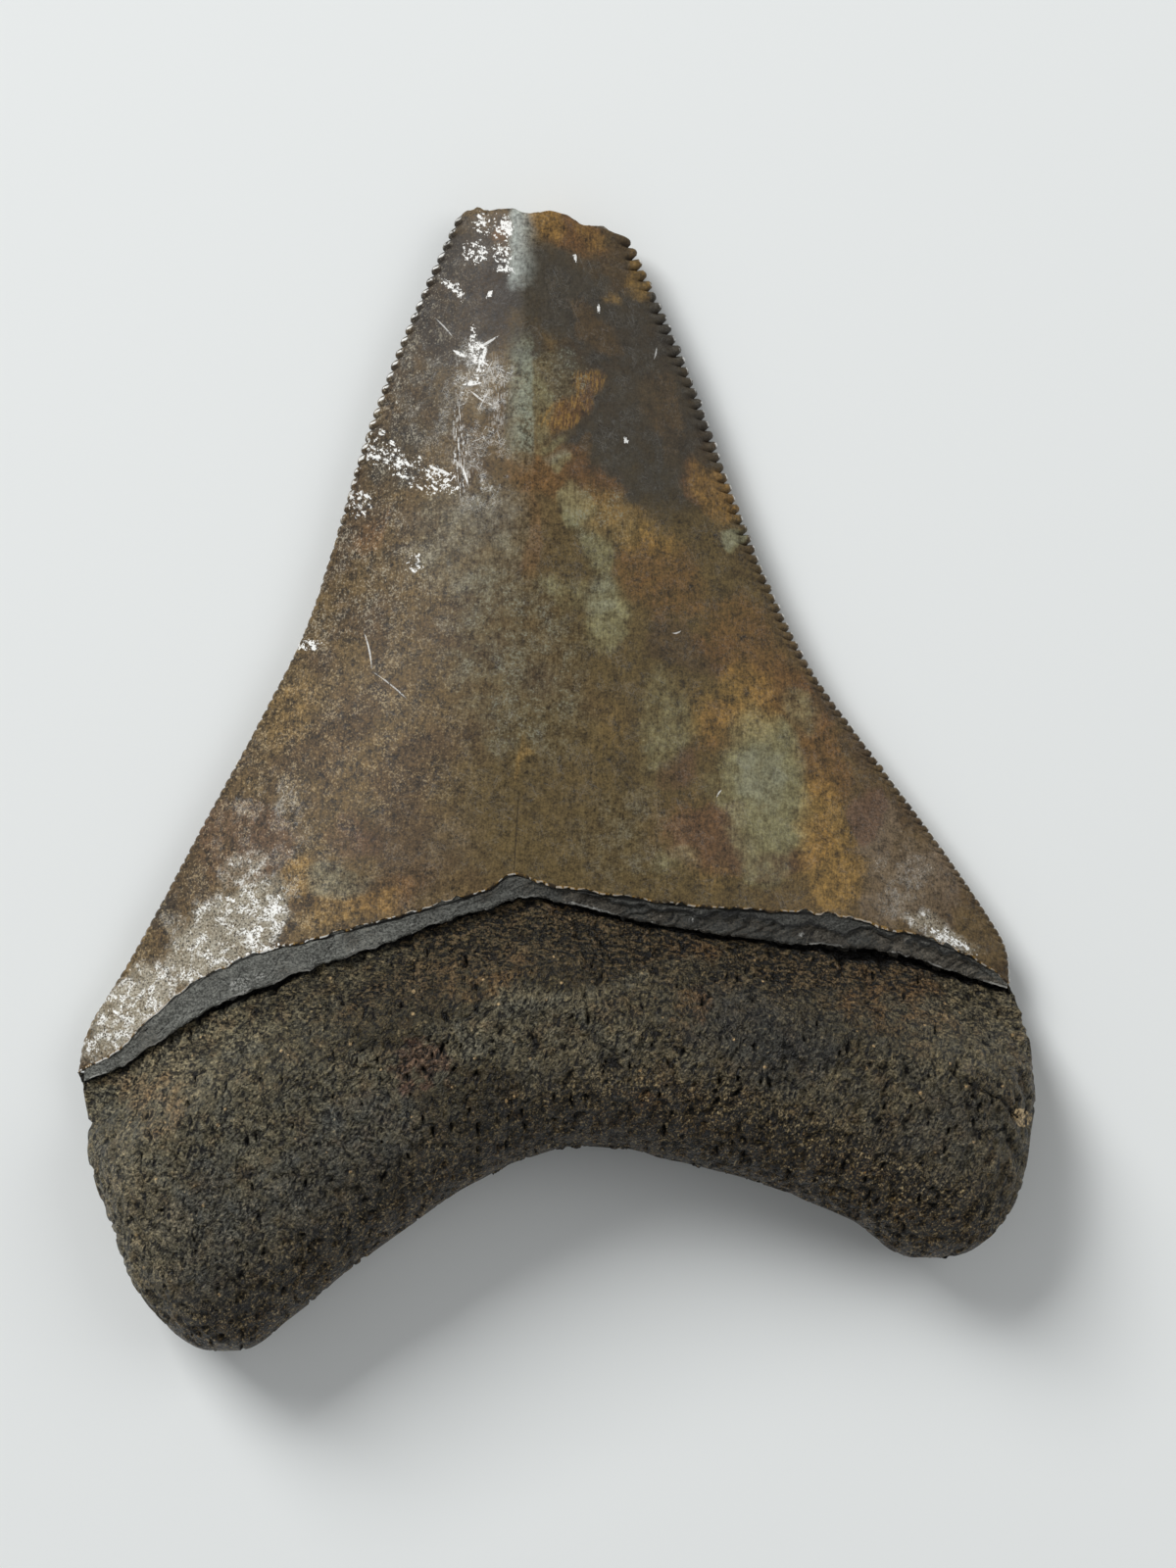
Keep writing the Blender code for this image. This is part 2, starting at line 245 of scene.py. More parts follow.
class Bench:
    """Modelling steps on mesh objects, taken as by hand."""

    @staticmethod
    def only(*objects: Thing) -> None:
        """Select objects and nothing else.

        Args:
            objects: The objects, of which the first one is made active.
        """
        bpy.ops.object.select_all(action="DESELECT")
        for thing in objects:
            thing.select_set(True)
        bpy.context.view_layer.objects.active = objects[0]

    @staticmethod
    def sheet(
        name: str, columns: int, rows: int,
        finer: Callable[[Array, Array], Array] | None = None, cuts: int = 2,
    ) -> Thing:
        """Add a flat sheet from (0, 0) to (1, 1), cut finer where it is asked.

        Args:
            name: The object's name.
            columns: Faces across.
            rows: Faces along.
            finer: Says which faces are cut finer, from their middles across and along.
            cuts: Cuts that each side of such a face gets.

        Returns:
            The sheet.
        """
        bpy.ops.object.select_all(action="DESELECT")
        bpy.ops.mesh.primitive_grid_add(x_subdivisions=columns, y_subdivisions=rows, size=1)
        made = bpy.context.active_object
        made.name = made.data.name = name
        bpy.ops.object.mode_set(mode="EDIT")
        bpy.ops.transform.translate(value=(0.5, 0.5, 0))
        bpy.ops.object.mode_set(mode="OBJECT")
        if finer is not None:
            across, along, _ = Bench.vectors(made.data.polygons, "center").T
            Bench.pick_faces(made, finer(across, along))
            bpy.ops.object.mode_set(mode="EDIT")
            bpy.ops.mesh.subdivide(number_cuts=cuts, ngon=False, quadcorner="INNERVERT")
            bpy.ops.object.mode_set(mode="OBJECT")
        return made

    @staticmethod
    def pick_faces(thing: Thing, chosen: Array) -> None:
        """Leave only some faces selected for the next step in edit mode.

        Args:
            thing: The object.
            chosen: Whether each face is wanted.
        """
        bpy.context.tool_settings.mesh_select_mode = (False, False, True)
        mesh = thing.data
        mesh.vertices.foreach_set("select", np.zeros(len(mesh.vertices), bool))
        mesh.edges.foreach_set("select", np.zeros(len(mesh.edges), bool))
        mesh.polygons.foreach_set("select", np.asarray(chosen, bool))

    @staticmethod
    def vectors(parts: bpy.types.bpy_prop_collection, name: str) -> Array:
        """One vector of each part of a mesh.

        Args:
            parts: The mesh's vertices, its faces or their like.
            name: The vector's property.

        Returns:
            One vector in each row.
        """
        flat = np.empty(len(parts) * 3)
        parts.foreach_get(name, flat)
        return flat.reshape(-1, 3)

    @staticmethod
    def places(thing: Thing) -> Array:
        """Where an object's vertices are, one in each row."""
        return Bench.vectors(thing.data.vertices, "co")

    @staticmethod
    def place(thing: Thing, points: Array) -> None:
        """Put the object's vertices at the given points."""
        thing.data.vertices.foreach_set("co", np.ascontiguousarray(points, np.float32).ravel())
        thing.data.update()

    @staticmethod
    def normals(thing: Thing) -> Array:
        """An object's vertex normals, one in each row."""
        return Bench.vectors(thing.data.vertex_normals, "vector")

    @staticmethod
    def mark(thing: Thing, name: str, values: Array) -> None:
        """Keep one number for each vertex as an attribute."""
        layer = thing.data.attributes.new(name, "FLOAT", "POINT")
        layer.data.foreach_set("value", np.ascontiguousarray(values, np.float32))

    @staticmethod
    def closed(name: str, sheets: Sequence[Thing]) -> Thing:
        """Join sheets that share their borders into one closed mesh that faces out.

        Args:
            name: The new object's name.
            sheets: The sheets, which are used up.

        Returns:
            The closed piece.
        """
        Bench.only(*sheets)
        bpy.ops.object.join()
        made = bpy.context.active_object
        made.name = made.data.name = name
        bpy.ops.object.mode_set(mode="EDIT")
        bpy.ops.mesh.select_all(action="SELECT")
        bpy.ops.mesh.remove_doubles(threshold=MERGE)
        bpy.ops.mesh.normals_make_consistent(inside=False)
        bpy.ops.object.mode_set(mode="OBJECT")
        return made

    @staticmethod
    def apply(thing: Thing, kind: str, **settings: object) -> None:
        """Put a modifier on an object and apply it.

        Args:
            thing: The object.
            kind: The modifier's type.
            settings: The modifier's properties.
        """
        Bench.only(thing)
        added = thing.modifiers.new(kind.lower(), kind)
        for key, value in settings.items():
            setattr(added, key, value)
        bpy.ops.object.modifier_apply(modifier=added.name)

    @staticmethod
    def smooth(thing: Thing, angle: float) -> None:
        """Shade an object smooth, apart from edges sharper than an angle in degrees."""
        Bench.only(thing)
        bpy.ops.object.shade_smooth_by_angle(angle=math.radians(angle))


# --- the tooth's form ---


@dataclass
class ToothForm:
    """Outlines and heights of the whole tooth, which its pieces share."""

    left_edge: Pairs = (
        (-31.3, -19.6), (-30.6, -16.7), (-28.0, -12.4), (-26.0, -8.8), (-22.9, -3.0), (-19.2, 3.8),
        (-16.4, 9.4), (-14.5, 15.0), (-12.6, 21.4), (-10.4, 27.5), (-7.8, 33.5), (-6.2, 36.9),
    )
    broken_tip: Pairs = (
        (-6.2, 36.9), (-5.1, 37.45), (-4.2, 37.25), (-2.9, 37.3), (-1.6, 37.05), (-0.2, 37.15),
        (1.1, 36.85), (1.9, 36.4), (3.1, 36.25), (4.1, 35.95), (4.75, 35.5),
    )
    right_edge: Pairs = (
        (30.1, -13.8), (29.9, -11.6), (28.8, -9.5), (25.5, -4.7), (20.8, 1.6), (16.8, 7.2),
        (13.7, 13.6), (11.3, 19.8), (9.1, 25.9), (6.7, 31.5), (4.75, 35.5),
    )
    root_outline: Pairs = (
        (30.1, -13.8), (30.9, -16.0), (31.35, -18.8), (31.35, -22.0), (30.8, -26.4), (29.6, -28.9),
        (27.7, -30.8), (25.2, -31.55), (22.4, -31.0), (19.6, -29.1), (16.0, -27.4), (11.5, -26.0),
        (8.0, -25.1), (4.6, -24.2), (0.5, -24.2), (-3.2, -25.5), (-7.1, -27.7), (-11.3, -30.6),
        (-15.6, -34.0), (-18.6, -36.4), (-20.6, -37.55), (-23.0, -37.45), (-25.0, -36.2),
        (-27.2, -33.4), (-28.9, -29.4), (-30.1, -25.9), (-30.5, -22.8), (-31.0, -20.3), (-31.3, -19.6),
    )
    enamel_edge: Pairs = (
        (-31.3, -19.6), (-28.6, -18.1), (-26.8, -16.4), (-23.7, -13.8), (-19.2, -11.6), (-14.8, -10.5),
        (-8.6, -8.8), (-4.4, -7.5), (-2.5, -6.4), (-0.6, -6.9), (3.9, -7.8), (10.5, -8.6), (18.0, -9.1),
        (23.0, -10.3), (27.4, -11.9), (30.1, -13.8),
    )
    bourlette_edge: Pairs = (
        (-31.0, -20.2), (-28.1, -18.9), (-23.7, -16.1), (-19.2, -13.9), (-14.8, -12.4), (-8.2, -10.0),
        (-4.2, -8.7), (-1.4, -7.9), (1.7, -8.4), (6.0, -9.6), (13.8, -10.8), (21.6, -11.5),
        (25.8, -12.8), (30.1, -14.1),
    )
    labial_edge: Pairs = ((-31.3, -19.6), (-16.0, -15.6), (0.0, -14.4), (16.0, -13.3), (30.1, -13.8))

    edge_middle: float = 2.4  # height of the cutting edges
    edge_half: float = 0.3  # half their thickness
    crest_x: Pairs = ((-9.0, -2.5), (37.0, -1.7))
    crest_height: Pairs = ((-12.0, 9.8), (-6.0, 9.4), (8.0, 8.1), (25.0, 6.3), (37.0, 4.5))
    dome_power: Pairs = ((-6.0, 2.2), (12.0, 1.8), (37.0, 1.3))
    enamel_step: float = 0.4  # from the enamel down to the bourlette
    bourlette_step: float = 0.7  # and on down to the root
    flat_share: float = 0.42  # how much of the labial face is flat, from the middle out
    labial_power: float = 2.5
    tip_lift: float = 0.9
    tip_lift_from: float = 16.0
    labial_step: float = 0.25
    labial_step_run: float = 3.0

    root_height: float = 13.2
    root_fall: float = 3.0
    root_fall_power: float = 1.5
    lobe_x: float = 28.0
    neck_length: float = 7.0
    tuck_drop: float = 0.5  # how far the root's face drops where it runs on under the bourlette
    tuck_run: float = 0.5
    root_middle: float = 4.6
    shoulder_blend: float = 8.0
    front_rounding: float = 5.5
    back_rounding: float = 3.6
    basal_slope: float = 0.06
    lobe_lift: float = 0.9

    def __post_init__(self) -> None:
        """Lay the lines that the heights are read from."""
        self.left = Curve(self.left_edge)
        self.right = Curve(self.right_edge)
        self.tip = Curve(self.broken_tip)
        self.rim = Curve(self.root_outline)
        self.enamel = Curve(self.enamel_edge)
        self.bourlette = Curve(self.bourlette_edge)
        self.labial = Curve(self.labial_edge)

    def share_to_edge(self, x: Array, y: Array) -> Array:
        """How far points are from the crest (0) to the cutting edge on their side (1).

        Args:
            x: Where they are across the tooth.
            y: Where they are along it.

        Returns:
            One share for each point.
        """
        crest = read(self.crest_x, y)
        sides = []
        for line in (self.left, self.right):
            order = np.argsort(line.points[:, 1])
            sides.append(np.interp(y, line.points[order, 1], line.points[order, 0]))
        edge = np.where(x > crest, sides[1], sides[0])
        return np.minimum(np.abs((x - crest) / (edge - crest)), 1.0)

    def dome(self, x: Array, y: Array) -> Array:
        """Heights of the lingual face before any ledge.

        Args:
            x: Places across the tooth.
            y: Places along it.

        Returns:
            One height for each place.
        """
        crest = read(self.crest_height, y)
        fall = self.share_to_edge(x, y) ** read(self.dome_power, y)
        low = self.edge_middle + self.edge_half
        return low + (crest - low) * (1 - fall)

    def past_flat(self, x: Array, y: Array) -> Array:
        """How far points are from the labial face's flat part (0) to the cutting edge (1)."""
        return np.maximum(self.share_to_edge(x, y) - self.flat_share, 0) / (1 - self.flat_share)

    def labial_face(self, x: Array, y: Array) -> Array:
        """Heights of the crown's labial face.

        Args:
            x: Places across the tooth.
            y: Places along it.

        Returns:
            One height for each place.
        """
        top = self.left_edge[-1][1]
        lift = self.tip_lift * eased((y - self.tip_lift_from) / (top - self.tip_lift_from))
        rise = self.past_flat(x, y) ** self.labial_power
        return lift + (self.edge_middle - self.edge_half - lift) * rise

    def middle(self, x: Array, y: Array) -> Array:
        """Heights of the widest line: low at the cutting edges, higher round the root."""
        below = self.bourlette.height_at(x) - y
        return self.edge_middle + (self.root_middle - self.edge_middle) * eased(below / self.shoulder_blend)

    def root_front(self, x: Array, y: Array, depth: Array) -> Array:
        """Heights of the root's lingual face.

        Args:
            x: Places across the tooth.
            y: Places along it.
            depth: How far inside the root's outline they are.

        Returns:
            One height for each place.
        """
        edge = self.bourlette.height_at(x)
        below = edge - y
        neck = self.dome(x, edge) - self.enamel_step - self.bourlette_step
        body = self.root_height - self.root_fall * (np.abs(x) / self.lobe_x) ** self.root_fall_power
        body = body - self.basal_slope * np.maximum(below - self.neck_length, 0)
        drop = self.tuck_drop * eased(-below / self.tuck_run)
        top = neck + (body - neck) * eased(below / self.neck_length) - drop
        middle = self.middle(x, y)
        return middle + np.maximum(top - middle, 0) * quarter_round(depth / self.front_rounding)

    def root_back(self, x: Array, y: Array, depth: Array) -> Array:
        """Heights of the root's labial face.

        Args:
            x: Places across the tooth.
            y: Places along it.
            depth: How far inside the root's outline they are.

        Returns:
            One height for each place.
        """
        below = self.labial.height_at(x) - y
        step = self.labial_step * (1 - eased(below / self.labial_step_run))
        floor = np.maximum(step, self.lobe_lift * eased(self.past_flat(x, y)))
        middle = self.middle(x, y)
        return middle - np.maximum(middle - floor, 0) * quarter_round(depth / self.back_rounding)


def patch(
    u: Array, v: Array, low: Curve, high: Curve, left: Curve, right: Curve
) -> Array:
    """Flat points inside four lines that meet at their ends.

    Args:
        u: Shares from the left line to the right one.
        v: Shares from the low line to the high one.
        low: The line at v = 0, from left to right.
        high: The line at v = 1, from left to right.
        left: The line at u = 0, from low to high.
        right: The line at u = 1, from low to high.

    Returns:
        One flat point for each pair of shares.
    """
    a, b = u[:, None], v[:, None]
    corners = (
        (1 - a) * (1 - b) * low.points[0] + a * (1 - b) * low.points[-1]
        + (1 - a) * b * high.points[0] + a * b * high.points[-1]
    )
    return (1 - b) * low.at(u) + b * high.at(u) + (1 - a) * left.at(v) + a * right.at(v) - corners


# --- the crown ---


@dataclass
class Crown:
    """The enamel: both faces, the serrated edges, the ledge over the bourlette and the broken tip."""

    form: ToothForm
    serrations: int = 83  # along each cutting edge
    serration_depth: float = 0.5
    tooth_power: float = 2.2  # how square the serrations are
    groove_power: float = 2.4  # how narrow the grooves between them are
    strengths: Pair = (0.66, 1.12)  # the least and the most that a serration stands out
    weak_from: int = 40  # serrations of the left edge from here on may be all but worn off
    weak_count: int = 5
    weak_strength: float = 0.45
    pitch_at_base: float = 0.58
    pitch_at_tip: float = 0.84
    inset: Pair = (0.42, 0.28)  # how far inside the outline each side's serrations start
    slant: Pair = (0.12, 0.8)  # how far each side's grooves lean toward the base
    lean_depth: float = 1.8  # where they lean most
    lean_run: float = 0.03  # share of the edge over which the lean comes in
    serration_reach: float = 1.2  # how far inside the edge serrations move points
    groove_depth: float = 0.34
    groove_reach: Pair = (0.48, 0.85)
    left_wear: Pairs = (
        (-20.0, 0.1), (-8.0, 0.26), (6.0, 0.34), (10.0, 0.16), (15.0, 0.25), (17.5, 0.9), (37.0, 1.0),
    )
    right_wear: Pairs = ((-14.0, 0.2), (-8.0, 0.4), (-4.0, 0.55), (8.0, 0.7), (20.0, 0.95), (37.0, 1.0))
    edge_rounding: float = 0.35
    margin: float = 2.0  # breadth of the finer strip along each cutting edge
    margin_power: float = 1.5
    margin_columns: int = 4
    middle_columns: int = 150
    edge_points: int = 1500
    cuts: int = 2
    base_rows: int = 2  # cut finer, for the ragged ledge
    ledge_depth: float = 1.0
    lip: float = 0.07
    ragged: float = 0.17
    chip_layers: Pairs = ((1.3, 0.8), (0.6, 0.7), (0.28, 0.4))  # sizes and strengths of the ledge's chips
    notch_size: float = 0.5
    notch_strength: float = 2.4
    tip_drop: float = 0.2
    tip_band: float = 1.2  # how far below the tip's outline its break reaches
    tip_ragged: float = 0.1
    tip_lumps: Pairs = ((0.8, 1.0), (0.35, 0.5))  # sizes and strengths of the break's lumps, seen from above
    tip_round: Pair = (0.16, 0.35)  # how far the face drops to the break, and over what length
    lip_run: float = 0.14
    knobs: Pair = (-6.15, -4.2)  # the part of the tip that is knobbed
    knob_pitch: float = 0.85
    knob_height: float = 0.22
    wave: Pair = (5.0, 0.04)  # size and height of the faces' unevenness
    wall_ragged: Pairs = ((0.7, 0.22), (0.3, 0.12))  # sizes and depths of the break's lumps
    wall_dent: float = 0.05
    edge_mark: float = 0.9  # how far in the cutting edge's paint reaches
    rim_mark: float = 0.4  # how far up the base's paint reaches
    wall_rows: int = 8
    tip_rows: int = 10

    def __post_init__(self) -> None:
        """Set up the noise."""
        self.chips = Lattice(11)
        self.waves = Lattice(12)
        vary = np.random.default_rng(13)
        self.strength = vary.uniform(*self.strengths, (2, self.serrations + 1))
        weak = vary.integers(self.weak_from, self.serrations - 8, self.weak_count)
        self.strength[0, weak] *= self.weak_strength

    @property
    def margin_share(self) -> float:
        """Breadth of a finer strip in the sheet's own shares."""
        return self.margin_columns / (2 * self.margin_columns + self.middle_columns)

    def sheet(self, name: str) -> Thing:
        """A flat sheet that is finer along both cutting edges and along the base.

        Args:
            name: The sheet's name.

        Returns:
            The sheet.
        """
        rows = 2 * self.serrations
        strip = self.margin_share
        return Bench.sheet(
            name, 2 * self.margin_columns + self.middle_columns, rows,
            lambda c, t: (c < strip) | (c > 1 - strip) | (t < self.base_rows / rows), self.cuts,
        )

    def along_edge(self, t: Array) -> Array:
        """Share of an edge's length at shares of its serrations, which are wider near the tip."""
        low, high = self.pitch_at_base, self.pitch_at_tip
        return (low * t + (high - low) * t * t / 2) / ((low + high) / 2)

    def serration(self, t: Array, side: int) -> tuple[Array, Array, Array]:
        """How the serrations of one side move points out of their smooth edge.

        Args:
            t: Shares of the edge's serrations.
            side: 0 for the left edge and 1 for the right one.

        Returns:
            Moves of the edge, how deep each point is in a groove (0..1), and the wear (0..1).
        """
        line = (self.form.left, self.form.right)[side]
        share = self.along_edge(t)
        count = t * self.serrations
        phase = np.abs(2 * (count - np.floor(count + NEAR)) - 1).clip(0, 1)
        y = line.at(share)[..., 1]
        wear = read((self.left_wear, self.right_wear)[side], y)
        wear = wear * self.strength[side][np.floor(count + NEAR).astype(int).clip(0, self.serrations)]
        out = np.sqrt(1 - phase**self.tooth_power) * wear * self.serration_depth
        out = out - self.inset[side] * wear.clip(0, 1)
        away = line.outward(share) * (1 if side == 0 else -1)
        return away * out[..., None], phase**self.groove_power, wear

    def spread(self, c: Array, width: Array) -> Array:
        """Shares of the width, evenly deep in the strips by the cutting edges.

        Args:
            c: Shares of the sheet.
            width: The width at each of them.

        Returns:
            One share of the width for each share of the sheet.
        """
        strip, reach = self.margin_share, self.margin / width
        left = reach * (c / strip).clip(0, 1) ** self.margin_power
        right = 1 - reach * ((1 - c) / strip).clip(0, 1) ** self.margin_power
        between = reach + (1 - 2 * reach) * (c - strip) / (1 - 2 * strip)
        return np.where(c < strip, left, np.where(c > 1 - strip, right, between))

    def plan(self, c: Array, t: Array, base: Curve) -> dict[str, Array]:
        """Where the points of a face lie, seen from above.

        Args:
            c: Shares across the sheet.
            t: Shares along the sheet, from the base to the tip.
            base: The face's lower line.

        Returns:
            Flat points, their distance from the cutting edge, and groove and wear shares there.
        """
        form = self.form
        left, right = form.left.at(self.along_edge(t)), form.right.at(self.along_edge(t))
        width = np.linalg.norm(right - left, axis=1)
        s = self.spread(c, width)
        ticks = np.linspace(0, 1, self.edge_points)
        edges = [Curve.of(line.at(self.along_edge(ticks)), ticks) for line in (form.left, form.right)]
        flat = patch(s, t, base, form.tip, *edges)
        depth = np.minimum(s, 1 - s) * width
        side = (s > 0.5).astype(int)
        moves = [self.serration(t, k) for k in (0, 1)]
        shift, groove, wear = (
            np.where(side[:, None] if k == 0 else side, b, a) for k, (a, b) in enumerate(zip(*moves))
        )
        flat = flat + shift * (1 - depth / self.serration_reach).clip(0, 1)[:, None] ** 2
        lean = (depth / self.lean_depth) * np.exp(1 - depth / self.lean_depth) * wear.clip(0, 1)
        lean = lean * eased(t / self.lean_run) * eased((1 - t) / self.lean_run)
        flat[:, 1] -= np.where(side, self.slant[1], self.slant[0]) * lean
        return {"flat": flat, "depth": depth, "groove": groove, "wear": wear, "s": s}

    def base_chips(self, flat: Array, depth: Array) -> Array:
        """How far the enamel's ragged edge strays along y.

        Args:
            flat: Flat points of the edge.
            depth: How far inside the cutting edges they are.

        Returns:
            One move for each point.
        """
        across = stacked(flat[:, 0], 0.0 * depth, 0.0 * depth)
        rough = sum(strength * self.chips.at(across, size) for size, strength in self.chip_layers)
        notch = np.maximum(self.chips.at(across + 40, self.notch_size) - 0.3, 0)
        notch = notch * eased((flat[:, 0] + 18) / 4)  # the ledge's left end has none
        return self.ragged * (rough + self.notch_strength * notch) * eased(depth / 1.5)

    def face(self, sheet: Thing, front: bool) -> None:
        """Shape a sheet into one face.

        Args:
            sheet: The flat sheet.
            front: Whether it is the lingual face.
        """
        form = self.form
        c, t, _ = Bench.places(sheet).T
        got = self.plan(c, t, form.enamel if front else form.labial)
        flat, depth = got["flat"], got["depth"]
        up = t * form.left.length  # about the distance from the base
        if front:
            flat[:, 1] += self.base_chips(flat, depth) * (1 - up / 1.0).clip(0, 1) ** 2
        x, y = flat.T
        deep = (form.left.length - up).clip(0)
        place = stacked(x, y, 0 * x)
        rough = sum(strength * self.chips.at(place, size) for size, strength in self.tip_lumps)
        knobs = self.knob_height * np.abs(np.sin(np.pi * (x - self.knobs[0]) / self.knob_pitch))
        knobs = knobs * eased((self.knobs[1] - x) / 0.8) - self.tip_drop
        broken = (self.tip_ragged * rough + knobs) * (1 - deep / self.tip_band).clip(0, 1) ** 2
        flat[:, 1] += broken * eased(depth / 0.8 + 0.3 * (x < 0))
        inner = quarter_round(depth / self.edge_rounding)
        cut = self.groove_depth * got["groove"] * got["wear"] * inner
        cut = cut * np.exp(-((depth / np.where(got["s"] > 0.5, *self.groove_reach[::-1])) ** 2))
        if front:
            wave = self.wave[1] * self.waves.at(stacked(x, y, 0 * x), self.wave[0])
            top = form.dome(x, y) + wave * eased(depth / 2)
            top = top - self.lip * (1 - quarter_round(up / self.lip_run)) * eased(depth / 1.0)
            top = top - self.tip_round[0] * (1 - quarter_round(deep / self.tip_round[1])) * eased(depth / 0.6)
            z = form.edge_middle + (top - form.edge_middle) * inner - cut
        else:
            low = form.labial_face(x, y)
            z = form.edge_middle - (form.edge_middle - low) * inner + cut
        Bench.place(sheet, stacked(x, y, z) * MM)
        Bench.mark(sheet, "edge", np.exp(-depth / self.edge_mark))
        Bench.mark(sheet, "groove", got["groove"] * got["wear"].clip(0, 1))
        Bench.mark(sheet, "rim", (1 - up / self.rim_mark).clip(0, 1) * front)

    def wall(self, sheet: Thing, upper: Array, lower: Array, tip: bool) -> None:
        """Shape a sheet into a wall between two rims, given as points by column.

        Args:
            sheet: The flat sheet, as many columns broad as the rims.
            upper: The lingual rim's points, in millimetres.
            lower: The labial rim's points.
            tip: Whether it is the broken tip, and not the base.
        """
        c, w, _ = Bench.places(sheet).T
        column = np.rint(c * (len(upper) - 1)).astype(int)
        start, end = upper[column], lower[column]
        height = np.abs(start[:, 2] - end[:, 2])
        if tip:
            points = start + (end - start) * w[:, None]
            bulge = np.sin(np.pi * w.clip(0, 1)) * eased(height / 1.2)
            lumps = sum(strength * self.chips.at(points, size) for size, strength in self.wall_ragged)
            points[:, 1] += bulge * (lumps - self.wall_dent)
        else:
            ledge = (w * 2).clip(0, 1)
            depth = np.minimum(self.ledge_depth, height * 0.3)
            points = start + stacked(0 * w, 0.2 * ledge * eased(height / 2), -depth * ledge)
            rest = (2 * w - 1).clip(0, 1)[:, None]
            points = points + (end - points) * rest
            Bench.mark(sheet, "rim", (1 - w * 3).clip(0, 1))
        Bench.place(sheet, points * MM)

    def rim(self, sheet: Thing, own: Array, top: bool) -> Array:
        """A shaped sheet's border points at the tip or the base, from left to right.

        Args:
            sheet: The shaped sheet.
            own: The sheet's flat coordinates before it was shaped.
            top: Whether the tip's border is wanted, and not the base's.

        Returns:
            The border's points, in millimetres.
        """
        chosen = np.flatnonzero(own[:, 1] > 1 - NEAR if top else own[:, 1] < NEAR)
        chosen = chosen[np.argsort(own[chosen, 0])]
        return Bench.places(sheet)[chosen] / MM

    def build(self) -> Thing:
        """Model the crown as one closed mesh.

        Returns:
            The crown.
        """
        faces, rims = [], {}
        for name, front in (("lingual", True), ("labial", False)):
            sheet = self.sheet(name)
            own = Bench.places(sheet)
            self.face(sheet, front)
            rims[name] = [self.rim(sheet, own, top) for top in (False, True)]
            faces.append(sheet)
        for top, rows in ((False, self.wall_rows), (True, self.tip_rows)):
            upper, lower = rims["lingual"][top], rims["labial"][top]
            sheet = Bench.sheet("tip_break" if top else "base_wall", len(upper) - 1, rows)
            self.wall(sheet, upper, lower, top)
            faces.append(sheet)
        made = Bench.closed("crown", faces)
        Bench.smooth(made, SHARP)
        return made


# --- the bourlette ---


